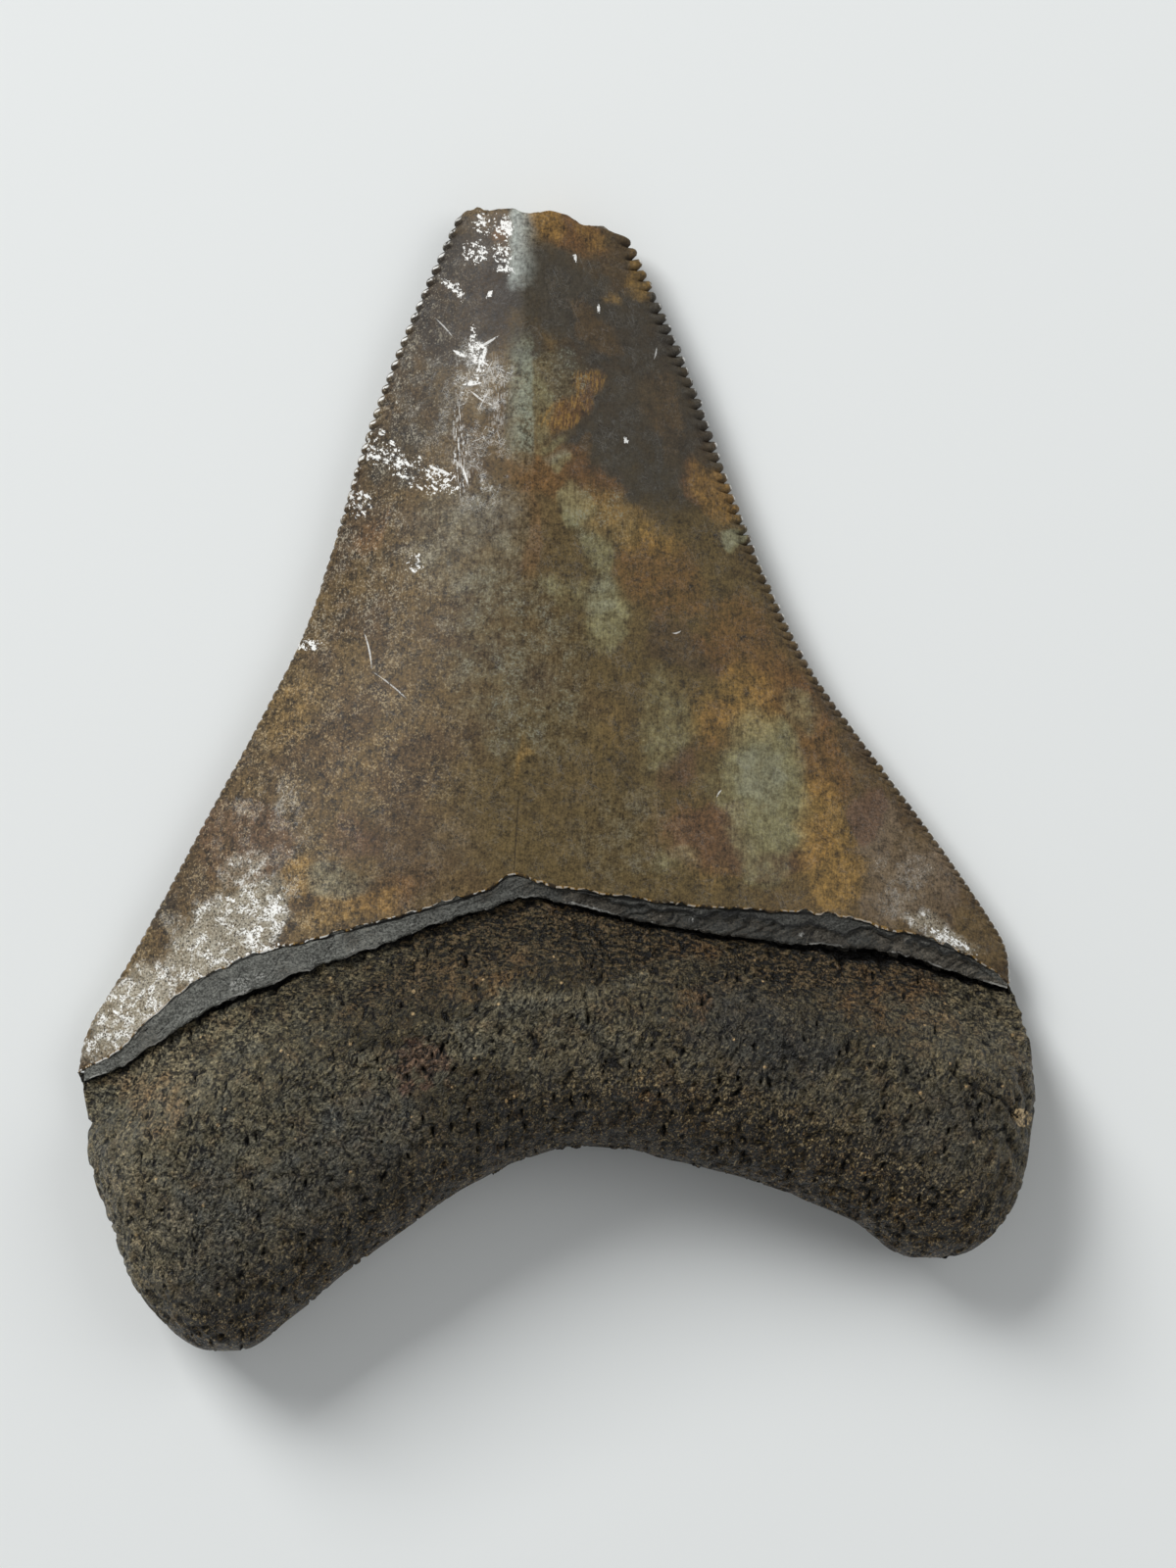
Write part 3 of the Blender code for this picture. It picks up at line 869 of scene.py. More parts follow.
@dataclass
class Bourlette:
    """The dark band between the enamel and the root: smooth on the left, folded on the right."""

    form: ToothForm
    columns: int = 700
    rows: int = 26
    tuck: float = 0.6  # how far it runs on under the enamel
    thickness: float = 1.3
    ragged: Pairs = ((3.0, 0.16), (1.1, 0.13), (0.4, 0.09), (0.18, 0.04))  # sizes and how far each strays
    end_gap: float = 0.15  # how far it stops short of the root's shoulders
    end_fade: float = 3.0
    lip: float = 0.16
    lip_run: float = 0.3
    step_at_enamel: float = 0.13
    folds_from: float = -3.0  # it is folded to the right of here
    fold_share: float = 0.52
    fold_waves: Pairs = ((1.6, 0.16), (0.6, 0.1))  # sizes and how far the fold's edge strays
    wrinkle_size: Triple = (1.9, 0.6, 1)
    fine_wrinkle_size: Triple = (0.7, 0.3, 1)
    fold_depth: float = 0.2
    fold_run: float = 0.08  # share of the band's height
    wrinkle_depth: float = 0.11
    fold_wrinkle_depth: float = 0.12
    crack_width: float = 0.07
    crack_depth: float = 0.08
    gap_width: float = 0.13
    gap_depth: float = 0.1
    cracks: tuple[Pairs, ...] = (
        ((-17.7, -11.8), (-18.0, -12.4), (-18.3, -13.0), (-18.8, -13.4)), ((-16.8, -11.5), (-17.3, -11.9)),
        ((-20.1, -12.7), (-20.3, -13.1), (-20.8, -13.6), (-21.3, -14.1)), ((-22.8, -15.2), (-23.5, -16.0)),
        ((-25.0, -16.1), (-25.8, -16.9)), ((-26.5, -16.6), (-27.4, -17.4)), ((-14.2, -10.9), (-14.8, -11.8)),
        ((12.4, -9.4), (12.9, -10.4)), ((20.4, -10.0), (22.4, -10.9)), ((24.2, -11.0), (26.6, -12.6)),
    )

    def stray(self, x: Array) -> Array:
        """How far the lower edge strays along y at places across the tooth."""
        noise, along = Lattice(21), stacked(x, 0 * x, 0 * x)
        return sum(reach * noise.at(along + 9 * size, size) for size, reach in self.ragged)

    def build(self) -> Thing:
        """Model the band as a closed slab sunk in the root.

        Returns:
            The band.
        """
        form, folds = self.form, Lattice(22)
        sheet = Bench.sheet("bourlette", self.columns, self.rows)
        c, r, _ = Bench.places(sheet).T
        start, end = form.bourlette.points[[0, -1], 0]
        x = start + self.end_gap + (end - start - 2 * self.end_gap) * c
        fade = eased(np.minimum(x - start, end - x) / self.end_fade)
        low = form.bourlette.height_at(x) + self.stray(x) * fade
        high = np.maximum(form.enamel.height_at(x) + self.tuck * fade, low + 0.1)
        y = low + (high - low) * r
        flat = stacked(x, y, 0 * x)
        slant = stacked(x + 0.7 * y, y - 0.5 * x, 0 * x)
        right = eased((x - self.folds_from) / 6)
        waves = (reach * folds.at(flat + 30 * k, size) for k, (size, reach) in enumerate(self.fold_waves))
        lower = sum(waves, self.fold_share) - r
        fold = eased(lower / self.fold_run) * right
        rise = eased((r - 0.2) / 0.7)  # the band meets the enamel almost level
        step = self.step_at_enamel + (form.enamel_step - self.step_at_enamel) * (1 - rise) * fade
        z = form.dome(x, y) - step - self.fold_depth * fold * fade
        warp = stacked(folds.at(flat + 7, 0.8), folds.at(flat + 13, 0.8), 0 * x)
        wrinkle = np.abs(folds.at(slant + 0.5 * warp, self.wrinkle_size))
        wrinkle = wrinkle + 0.6 * np.abs(folds.at(slant + 0.3 * warp + 20, self.fine_wrinkle_size))
        z = z + (self.wrinkle_depth + self.fold_wrinkle_depth * fold) * (wrinkle - 0.3) * fade
        line = np.min([Curve(crack).distance(flat[:, :2]) for crack in self.cracks], axis=0)
        crack = (1.1 - (line + 0.06 * np.abs(folds.at(flat, 0.4))) / self.crack_width).clip(0, 1)
        broken = (0.9 + 1.1 * folds.at(stacked(x, 0 * x, 0 * x), 0.9)).clip(0.35, 2.0) * self.gap_width
        gap = (1 - np.abs(form.enamel.height_at(x) - 0.05 - y) / broken).clip(0, 1)
        gap = gap * (0.5 + 0.5 * eased((x + 20) / 3))  # shallower at the left end
        crease = (1 - np.abs(lower + 0.02) / 0.05).clip(0, 1) * right
        lip = self.lip * (1 - quarter_round((y - low) / self.lip_run))
        z = z - (self.crack_depth * crack + self.gap_depth * gap) * fade - lip * fade
        Bench.place(sheet, stacked(x, y, z) * MM)
        hollow = np.maximum.reduce([0.8 * gap, 0.6 * crack, 0.8 * crease, fold * (1 - wrinkle / 0.16)])
        Bench.mark(sheet, "hollow", hollow * fade)
        Bench.mark(sheet, "lip", (1 - (y - low) / 0.35).clip(0, 1))
        Bench.mark(sheet, "fold", fold)
        Bench.apply(sheet, "SOLIDIFY", thickness=self.thickness * MM, offset=-1.0)
        Bench.smooth(sheet, SHARP)
        return sheet


# --- the root ---


@dataclass
class Root:
    """The root with its two lobes: lumps, wrinkles, pits and a crack."""

    form: ToothForm
    middle_columns: int = 330
    margin_columns: int = 44
    middle_rows: int = 72
    margin_rows: int = 46
    margin: float = 5.4
    tuck: float = 0.9
    tuck_fade: float = 4.0
    border_points: int = 500
    labial_drop: float = 0.5  # how far the labial face rises inside the crown
    pit_count: int = 290
    pit_depth: float = 0.45
    pit_box: tuple[float, float, float, float] = (-30, 30.5, -37, -8.5)  # from and to, across and along
    pit_lean: Pair = (0.12, 0.4)  # mean and spread, in radians
    pit_width: Pair = (0.07, 0.1)  # the least half width, and how much the widest has more
    pit_stretch: Pair = (1.4, 4.0)
    pit_reach: float = 0.8
    crevice_width: Pairs = (
        (-30.0, 0.08), (-23.0, 0.12), (-21.0, 0.34), (-17.0, 0.3), (-14.0, 0.14), (0.0, 0.16),
        (6.0, 0.4), (16.0, 0.5), (18.0, 0.95), (25.0, 1.0), (28.0, 0.5), (30.0, 0.2),
    )
    crevice_depth: float = 0.8
    ripple_depth: float = 0.2
    ripple_width: float = 0.16
    neck: Pair = (2.0, 4.0)  # where level grain fades below the bourlette, and its run
    edge_run: float = 6.0  # how far upright grain reaches from the arch
    shade_run: float = 8.0  # how far the arch's darker colour reaches, which is painted shade in part
    lump_sizes: Pairs = ((2.6, 0.16), (1.4, 0.07))
    slanted_grain: Triple = (0.7, 1.2, 0.9)  # how large each grain's lumps are along its own axes
    level_grain: Triple = (1.6, 0.6, 0.9)
    upright_grain: Triple = (0.6, 1.5, 1.6)
    rough_most: float = 0.34
    ripple_below: float = 0.85  # how far under the bourlette's edge the ripple runs
    calm_run: float = 1.5  # how far from the root's shoulders its surface is smooth
    crack: Pairs = (
        (25.6, -18.9), (26.4, -19.6), (27.4, -19.9), (28.3, -20.6), (29.0, -20.8), (29.6, -21.7),
        (30.2, -22.2),
    )
    crack_width: float = 0.2
    crack_depth: float = 0.45
    smooth_below: float = 75.0  # degrees

    def __post_init__(self) -> None:
        """Part the root's outline at the tips of its lobes."""
        rim = self.form.rim
        x, y = rim.points.T
        lobes = [rim.shares[np.argmin(np.where(side, y, 0.0))] for side in (x > 0, x < 0)]
        self.right_side = rim.stretch(lobes[0], 0.0)
        self.arch = rim.stretch(lobes[1], lobes[0])
        self.left_side = rim.stretch(lobes[1], 1.0)

    def top_line(self, base: Curve, tuck: float) -> Curve:
        """The border that is tucked under the crown, between the root's two shoulders.

        Args:
            base: The line that the border follows.
            tuck: How far above that line it runs.

        Returns:
            The border, from left to right.
        """
        left, right = self.left_side.points[-1], self.right_side.points[-1]
        x = np.linspace(left[0], right[0], self.border_points)
        fade = eased(np.minimum(x - left[0], right[0] - x) / self.tuck_fade)
        y = base.height_at(x) + tuck * fade
        ends = np.interp(x, (left[0], right[0]), (left[1], right[1]))
        near = eased(np.minimum(x - left[0], right[0] - x) / 1.0)
        return Curve.of(stacked(x, ends + (y - ends) * near))

    def spread(self, c: Array, width: Array, columns: int, both: bool) -> Array:
        """Shares of a width for shares of a sheet, closer together round the outline.

        Args:
            c: Shares of the sheet.
            width: The width at each of them.
            columns: The sheet's faces in a rounded strip, over all its faces that way.
            both: Whether there is a strip at 1 as well as at 0.

        Returns:
            Shares of the width.
        """
        strip, reach = columns, self.margin / width
        start = reach * (1 - np.cos(np.pi / 2 * (c / strip).clip(0, 1)))
        if not both:
            return np.where(c < strip, start, reach + (1 - reach) * (c - strip) / (1 - strip))
        end = 1 - reach * (1 - np.cos(np.pi / 2 * ((1 - c) / strip).clip(0, 1)))
        between = reach + (1 - 2 * reach) * (c - strip) / (1 - 2 * strip)
        return np.where(c < strip, start, np.where(c > 1 - strip, end, between))

    def face(self, name: str, front: bool) -> tuple[Thing, Array]:
        """Shape one face of the root.

        Args:
            name: The sheet's name.
            front: Whether it is the lingual face.

        Returns:
            The sheet, and its top border's points in millimetres, from left to right.
        """
        form = self.form
        columns = 2 * self.margin_columns + self.middle_columns
        rows = self.margin_rows + self.middle_rows
        sheet = Bench.sheet(name, columns, rows)
        c, r, _ = Bench.places(sheet).T
        top = self.top_line(form.bourlette if front else form.labial, self.tuck)
        height = np.linalg.norm(top.at(c) - self.arch.at(c), axis=1)
        v = self.spread(r, height, self.margin_rows / rows, False)
        width = np.linalg.norm(self.right_side.at(v) - self.left_side.at(v), axis=1)
        u = self.spread(c, width, self.margin_columns / columns, True)
        flat = patch(u, v, self.arch, top, self.left_side, self.right_side)
        depth = form.rim.distance(flat)
        border = (c < NEAR) | (c > 1 - NEAR) | (r < NEAR)
        depth = np.where(border, 0.0, depth)
        x, y = flat.T
        z = form.root_front(x, y, depth) if front else form.root_back(x, y, depth)
        if not front:
            inside = eased((y - form.labial.height_at(x)) / 0.3)
            z = z + self.labial_drop * inside * eased(depth / 1.0)
        Bench.place(sheet, stacked(x, y, z) * MM)
        chosen = np.flatnonzero(r > 1 - NEAR)
        chosen = chosen[np.argsort(c[chosen])]
        return sheet, stacked(x, y, z)[chosen]

    def pits(self, points: Array, facing: Array) -> Array:
        """How deep in the root's pores points are, from 0 to 1.

        Args:
            points: Points in millimetres.
            facing: The normals' upward parts.

        Returns:
            One share for each point.
        """
        draw = np.random.default_rng(31)
        form = self.form
        x = draw.uniform(*self.pit_box[:2], self.pit_count * 3)
        y = draw.uniform(*self.pit_box[2:], self.pit_count * 3)
        inside = (y < form.bourlette.height_at(x) - 0.8) & (form.rim.distance(stacked(x, y)) > 1.2)
        arch = np.interp(x, self.arch.points[:, 0], self.arch.points[:, 1])
        inside &= y > arch
        x, y = x[inside][: self.pit_count], y[inside][: self.pit_count]
        lean = draw.normal(*self.pit_lean, len(x))
        half_width = self.pit_width[0] + self.pit_width[1] * draw.uniform(0, 1, len(x)) ** 2
        half_length = half_width * draw.uniform(*self.pit_stretch, len(x))
        deepest = np.zeros(len(points))
        cos, sin = np.cos(lean), np.sin(lean)
        for i in range(len(x)):
            off = np.abs(points[:, :2] - (x[i], y[i]))
            near = np.flatnonzero((off < self.pit_reach).all(axis=1))
            dx, dy = points[near, 0] - x[i], points[near, 1] - y[i]
            across = (dx * cos[i] - dy * sin[i]) / half_width[i]
            along = (dx * sin[i] + dy * cos[i]) / half_length[i]
            share = (1.15 - np.hypot(across, along)).clip(0, 1)
            deepest[near] = np.maximum(deepest[near], share)
        return deepest * (facing > 0.3)

    def near_neck(self, points: Array) -> Array:
        """1 by the bourlette, fading to 0 further down the root."""
        below = self.form.bourlette.height_at(points[:, 0]) - points[:, 1]
        return 1 - eased((below - self.neck[0]) / self.neck[1])

    def relief(self, points: Array, normals: Array) -> tuple[Array, Array]:
        """The root's rough surface.

        Args:
            points: Points of the smooth root, in millimetres.
            normals: Their normals.

        Returns:
            Moves along the normals in millimetres, and how hollow each place is (0..1).
        """
        form, noise, fine = self.form, Lattice(41), Lattice(42)
        x, y, z = points.T
        below = form.bourlette.height_at(x) - y
        neck = self.near_neck(points)
        edge = 1 - eased(self.arch.distance(points[:, :2]) / self.edge_run)
        lumps = sum(height * noise.at(points, size) for size, height in self.lump_sizes)
        slanted = np.abs(fine.at(stacked(0.8 * x + 0.55 * y, 0.55 * x - 0.8 * y, z), self.slanted_grain))
        level = np.abs(noise.at(stacked(x + 0.3 * y, y - 0.16 * x, z), self.level_grain))
        upright = np.abs(noise.at(stacked(x + 60, y, z), self.upright_grain))
        rough = 0.5 * (slanted * (1 - neck) * (1 - edge) + level * neck * (1 - edge) + 1.5 * upright * edge)
        rough = rough + 0.4 * np.abs(fine.at(points, 0.7)) + 0.12 * noise.at(points + 50, 0.45)
        rough = np.minimum(rough, self.rough_most)
        hollow = (1 - (rough + 0.03) / 0.12).clip(0, 1)
        band = below + Bourlette(form).stray(x) + 0.1 * fine.at(points + 20, 0.5)
        width = read(self.crevice_width, x) * (0.75 + 0.5 * noise.at(points + 80, 2.0))
        crevice = (1 - (band - 0.1) / np.maximum(width, 0.05)).clip(0, 1) * (normals[:, 2] > 0.1)
        crevice = crevice * (band > -0.6) * eased(width / 0.15)
        lane = band - self.ripple_below - 0.4 * noise.at(points + 33, 3.0)
        ripple = (1 - np.abs(lane) / self.ripple_width).clip(0, 1) * eased((6 - x) / 6) * eased((x + 16) / 4)
        ends = [np.linalg.norm(points[:, :2] - self.arch.points[k], axis=1) for k in (0, -1)]
        calm = eased(np.minimum(*ends) / self.calm_run)
        pits = self.pits(points, normals[:, 2])
        crack = Curve(self.crack).distance(points[:, :2]) + 0.1 * rough
        split = (1 - crack / self.crack_width).clip(0, 1) * (normals[:, 2] > 0.2)
        move = lumps + rough - 0.22 - self.pit_depth * eased(pits) - self.crack_depth * split
        move = move - np.minimum(self.crevice_depth, width * 1.3) * eased(crevice)
        move = move - self.ripple_depth * ripple * (normals[:, 2] > 0.3)
        hollow = np.maximum.reduce([hollow, eased(pits * 1.8), split, eased(crevice * 2.5), 0.85 * ripple])
        return move * calm, hollow * calm

    def build(self) -> Thing:
        """Model the root as one closed mesh.

        Returns:
            The root.
        """
        front, upper = self.face("root_lingual", True)
        back, lower = self.face("root_labial", False)
        inner = Bench.sheet("root_inner", len(upper) - 1, 2)
        c, w, _ = Bench.places(inner).T
        column = np.rint(c * (len(upper) - 1)).astype(int)
        Bench.place(inner, (upper[column] + (lower[column] - upper[column]) * w[:, None]) * MM)
        made = Bench.closed("root", [front, back, inner])
        points, normals = Bench.places(made) / MM, Bench.normals(made)
        move, hollow = self.relief(points, normals)
        points = points + normals * move[:, None]
        points[:, 2] = points[:, 2].clip(0)
        Bench.place(made, points * MM)
        Bench.mark(made, "hollow", hollow)
        shade = 1 - eased(self.arch.distance(points[:, :2]) / self.shade_run)
        shade = shade + 0.35 * eased((points[:, 0] + 8) / 20)  # it reaches further on the right
        Bench.mark(made, "shade", shade.clip(0, 1))
        Bench.mark(made, "neck", self.near_neck(points))
        Bench.smooth(made, self.smooth_below)
        return made


# --- finishes ---


def srgb(red: int, green: int, blue: int) -> Colour:
    """A colour as light, from its 0 to 255 screen values."""
    parts = [v / 255 for v in (red, green, blue)]
    return tuple(v / 12.92 if v <= 0.04045 else ((v + 0.055) / 1.055) ** 2.4 for v in parts)


@dataclass(frozen=True, eq=False)
class Wired:
    """A socket of a shop's material."""

    shop: Shop
    socket: Socket


class Mask(Wired):
    """A number that changes over a surface: a value socket with arithmetic."""

    def maths(self, operation: str, *values: Mask | float) -> Mask:
        """A Math node on values, of which masks are linked."""
        made = self.shop.node("ShaderNodeMath", {"operation": operation}, dict(enumerate(values)))
        return Mask(self.shop, made.outputs[0])

    def __add__(self, other: Mask | float) -> Mask:
        """Sum."""
        return self.maths("ADD", self, other)

    __radd__ = __add__

    def __mul__(self, other: Mask | float) -> Mask:
        """Product."""
        return self.maths("MULTIPLY", self, other)

    __rmul__ = __mul__

    def __sub__(self, other: Mask | float) -> Mask:
        """Difference."""
        return self.maths("SUBTRACT", self, other)

    def __rsub__(self, other: Mask | float) -> Mask:
        """Difference from a number."""
        return self.maths("SUBTRACT", other, self)

    def __truediv__(self, other: Mask | float) -> Mask:
        """Quotient."""
        return self.maths("DIVIDE", self, other)

    def higher(self, other: Mask | float) -> Mask:
        """The higher of two values."""
        return self.maths("MAXIMUM", self, other)

    def lower(self, other: Mask | float) -> Mask:
        """The lower of two values."""
        return self.maths("MINIMUM", self, other)

    def size(self) -> Mask:
        """The value without its sign."""
        return self.maths("ABSOLUTE", self)

    def ramp(self, start: float, end: float, low: float = 0.0, high: float = 1.0) -> Mask:
        """Ease from one value to another.

        Args:
            start: Where this value starts the change.
            end: Where it ends it.
            low: The value up to the start.
            high: The value from the end on.

        Returns:
            The eased value.
        """
        made = self.shop.node(
            "ShaderNodeMapRange", {"interpolation_type": "SMOOTHSTEP"},
            {"Value": self, "From Min": start, "From Max": end, "To Min": low, "To Max": high},
        )
        return Mask(self.shop, made.outputs["Result"])


class Paint(Wired):
    """A colour that changes over a surface: a colour socket that others are laid over."""

    def blend(self, how: str, other: Paint | Colour, mask: Mask | float) -> Paint:
        """Mix another colour in.

        Args:
            how: The way of mixing.
            other: The other colour.
            mask: How much of it is mixed in.

        Returns:
            The mixed colour.
        """
        made = self.shop.node(
            "ShaderNodeMix", {"data_type": "RGBA", "blend_type": how, "clamp_factor": True},
            {0: mask, 6: self, 7: other},
        )
        return Paint(self.shop, made.outputs[2])

    def under(self, other: Paint | Colour, mask: Mask | float) -> Paint:
        """Lay another colour over this one."""
        return self.blend("MIX", other, mask)

    def times(self, other: Paint | Colour, mask: Mask | float = 1.0) -> Paint:
        """Multiply by another colour."""
        return self.blend("MULTIPLY", other, mask)

    def lit(self, mask: Mask) -> Paint:
        """Scale the colour by a value."""
        made = self.shop.node("ShaderNodeVectorMath", {"operation": "SCALE"}, {0: self, "Scale": mask})
        return Paint(self.shop, made.outputs[0])


class Shop:
    """One material's nodes and the shader they end in."""

    noise_shift = (7.7, 3.1)  # how far apart the parts of a noise lie that seeds pick
    cell_shift = (5.3, 2.9)
    full_from = 0.55  # density from which a tint isn't thinned

    def __init__(self, name: str) -> None:
        """Start the material with its Principled shader.

        Args:
            name: The material's name.
        """
        self.material = bpy.data.materials.new(name)
        self.material.use_nodes = True
        self.tree = self.material.node_tree
        self.shader = self.tree.nodes["Principled BSDF"]
        coordinates = self.node("ShaderNodeTexCoord")
        scaled = self.node("ShaderNodeVectorMath", {"operation": "SCALE"},
                           {0: coordinates.outputs["Object"], "Scale": 1 / MM})
        self.place = scaled.outputs[0]

    def node(self, kind: str, settings: dict | None = None, inputs: dict | None = None) -> bpy.types.Node:
        """Make a node.

        Args:
            kind: The node's type.
            settings: Its properties, set first.
            inputs: Values, masks, paints or sockets for its input sockets, by name or number.

        Returns:
            The node.
        """
        made = self.tree.nodes.new(kind)
        for key, value in (settings or {}).items():
            setattr(made, key, value)
        for key, value in (inputs or {}).items():
            self.feed(made.inputs[key], value)
        return made

    def feed(self, socket: Socket, value: object) -> None:
        """Link something to a socket, or set the socket's value.

        Args:
            socket: The socket.
            value: A mask, a paint or a socket to link, or the value.
        """
        if isinstance(value, Wired):
            value = value.socket
        if isinstance(value, Socket):
            self.tree.links.new(value, socket)
        elif isinstance(value, tuple) and socket.type == "RGBA":
            socket.default_value = (*value, 1.0)
        else:
            socket.default_value = value

    def moved(
        self, at: Pair = (0, 0), scale: Triple = (1, 1, 1),
        turn: float = 0.0,
    ) -> Socket:
        """Coordinates of its own for a mark or a noise.

        Args:
            at: Their origin.
            scale: Their unit along each axis.
            turn: Their turn, in degrees.

        Returns:
            A vector socket.
        """
        made = self.node(
            "ShaderNodeMapping", {"vector_type": "TEXTURE"},
            {"Vector": self.place, "Location": (*at, 0.0), "Rotation": (0.0, 0.0, math.radians(turn)),
             "Scale": scale},
        )
        return made.outputs[0]

    def noise(
        self, size: float, detail: float = 2.0, stretch: Triple = (1, 1, 1),
        turn: float = 0.0, seed: float = 0.0, wander: float = 0.0, rough: float = 0.5,
    ) -> Mask:
        """Noise about 0.5.

        Args:
            size: Size of its lumps, in millimetres.
            detail: Finer layers over them.
            stretch: How much longer they are along each axis.
            turn: Turn of the stretch, in degrees.
            seed: Picks another part of the noise.
            wander: How much it is distorted.
            rough: How strong the finer layers are.

        Returns:
            The noise.
        """
        vector = self.moved(tuple(seed * step for step in self.noise_shift), stretch, turn)
        made = self.node("ShaderNodeTexNoise", None, {
            "Vector": vector, "Scale": 1 / size, "Detail": detail, "Distortion": wander, "Roughness": rough,
        })
        return Mask(self, made.outputs[0])

    def cells(
        self, size: float, stretch: Triple = (1, 1, 1), turn: float = 0.0,
        seed: float = 0.0,
    ) -> tuple[Mask, Mask]:
        """A cell pattern.

        Args:
            size: Size of its cells, in millimetres.
            stretch: How much longer they are along each axis.
            turn: Turn of the stretch, in degrees.
            seed: Picks another part of the pattern.

        Returns:
            Distances from the cells' middles, and one random number for each cell.
        """
        vector = self.moved(tuple(seed * step for step in self.cell_shift), stretch, turn)
        made = self.node("ShaderNodeTexVoronoi", None, {"Vector": vector, "Scale": 1 / size})
        parts = self.node("ShaderNodeSeparateColor", None, {0: made.outputs["Color"]})
        return Mask(self, made.outputs["Distance"]), Mask(self, parts.outputs[0])

    def attribute(self, name: str) -> Mask:
        """A number that the piece's vertices carry."""
        made = self.node("ShaderNodeAttribute", {"attribute_name": name})
        return Mask(self, made.outputs["Fac"])

    def axis(self, name: str) -> Mask:
        """One coordinate, in millimetres."""
        made = self.node("ShaderNodeSeparateXYZ", None, {0: self.place})
        return Mask(self, made.outputs[name])

    def colour(self, value: Colour) -> Paint:
        """A plain colour to start from."""
        made = self.node("ShaderNodeMix", {"data_type": "RGBA"}, {0: 0.0, 6: value, 7: value})
        return Paint(self, made.outputs[2])

    def cover(self, tint: Tint, rough: Mask) -> Mask:
        """Where a tint lies.

        Args:
            tint: The tint, which the piece's vertices carry.
            rough: Noise that breaks up its edges.

        Returns:
            How much the tint covers.
        """
        dense = self.attribute(tint.name)
        inside = (dense + (rough - 0.5) * tint.ragged).ramp(0.5 - tint.soft, 0.5 + tint.soft)
        return inside * dense.ramp(0.0, self.full_from) * tint.opacity

    def stroke(self, scratch: Scratch, rag: Mask | float = 0.0) -> Mask:
        """Where a scratch lies.

        Args:
            scratch: The scratch.
            rag: What makes its sides ragged.

        Returns:
            How much the scratch covers.
        """
        (x0, y0), (x1, y1) = scratch.start, scratch.end
        half = math.dist(scratch.start, scratch.end) / 2
        turn = math.degrees(math.atan2(y1 - y0, x1 - x0))
        vector = self.moved(((x0 + x1) / 2, (y0 + y1) / 2), turn=turn)
        parts = self.node("ShaderNodeSeparateXYZ", None, {0: vector})
        x, y = Mask(self, parts.outputs["X"]), Mask(self, parts.outputs["Y"])
        off = (y + x * x * (scratch.bend / half**2) - scratch.bend).size()
        return (off / scratch.width + x * x / half**2 + rag).ramp(1.0, 0.5) * scratch.strength

    def ridges(self, noise: Mask, width: float) -> Mask:
        """Thin lines where noise passes its middle value."""
        return (noise - 0.5).size().ramp(width, width * 0.25)

    def bump(self, height: Mask, distance: float, strength: float = 1.0) -> Socket:
        """Raise the surface.

        Args:
            height: How high it is, 1 being the distance.
            distance: How far a height of 1 raises it, in millimetres.
            strength: How strongly that is seen.

        Returns:
            The normal's socket.
        """
        made = self.node("ShaderNodeBump", None, {
            "Height": height, "Distance": distance * MM, "Strength": strength,
        })
        return made.outputs[0]

    def finish(self, colour: Paint, roughness: Mask | float, normal: Socket, specular: float) -> None:
        """Feed the shader.

        Args:
            colour: The base colour.
            roughness: The roughness.
            normal: The bumped normal.
            specular: How strongly the surface reflects.
        """
        self.feed(self.shader.inputs["Base Color"], colour)
        self.feed(self.shader.inputs["Roughness"], roughness)
        self.feed(self.shader.inputs["Normal"], normal)
        self.shader.inputs["Specular IOR Level"].default_value = specular


@dataclass(frozen=True)
class Stain:
    """One soft patch: its middle, its reach each way, its turn in degrees and how dense it is."""

    x: float
    y: float
    width: float
    length: float
    turn: float = 0.0
    dense: float = 1.0
    full: ClassVar[float] = 0.5  # share of its reach within which it is fully dense
    end: ClassVar[float] = 1.25  # share of its reach at which it ends

    def density(self, points: Array) -> Array:
        """How dense the stain is.

        Args:
            points: Flat points.

        Returns:
            One density for each point.
        """
        x, y = (points - (self.x, self.y)).T
        turn = math.radians(self.turn)
        across = (x * math.cos(turn) + y * math.sin(turn)) / self.width
        along = (y * math.cos(turn) - x * math.sin(turn)) / self.length
        return self.dense * eased((self.end - np.hypot(across, along)) / (self.end - self.full))


@dataclass(frozen=True)
class Tint:
    """A colour and the stains that it lies in, which vertices carry as one number."""

    name: str
    colour: Colour
    stains: tuple[tuple[float, ...], ...]  # each one a Stain's numbers
    opacity: float = 0.8
    ragged: float = 3.0
    soft: float = 0.25
    how: str = "MIX"

    def mark(self, piece: Thing, points: Array) -> None:
        """Keep on a piece how densely the tint covers each of its vertices."""
        Bench.mark(piece, self.name, np.max([Stain(*row).density(points) for row in self.stains], axis=0))


def strayed(piece: Thing, *layers: Pair) -> Array:
    """A piece's flat points in millimetres, each strayed by noise.

    Args:
        piece: The piece.
        layers: For each noise, the size of its lumps and how far it moves points.

    Returns:
        One flat point for each vertex.
    """
    points = Bench.places(piece) / MM
    moved = points[:, :2].copy()
    for k, (size, reach) in enumerate(layers):
        moved[:, 0] += reach * Lattice(60 + k).at(points, size)
        moved[:, 1] += reach * Lattice(70 + k).at(points, size)
    return moved


@dataclass(frozen=True)
class Scratch:
    """One thin bright scratch, bowed to its left by the bend."""

    start: Pair
    end: Pair
    width: float = 0.07
    bend: float = 0.0
    strength: float = 0.6


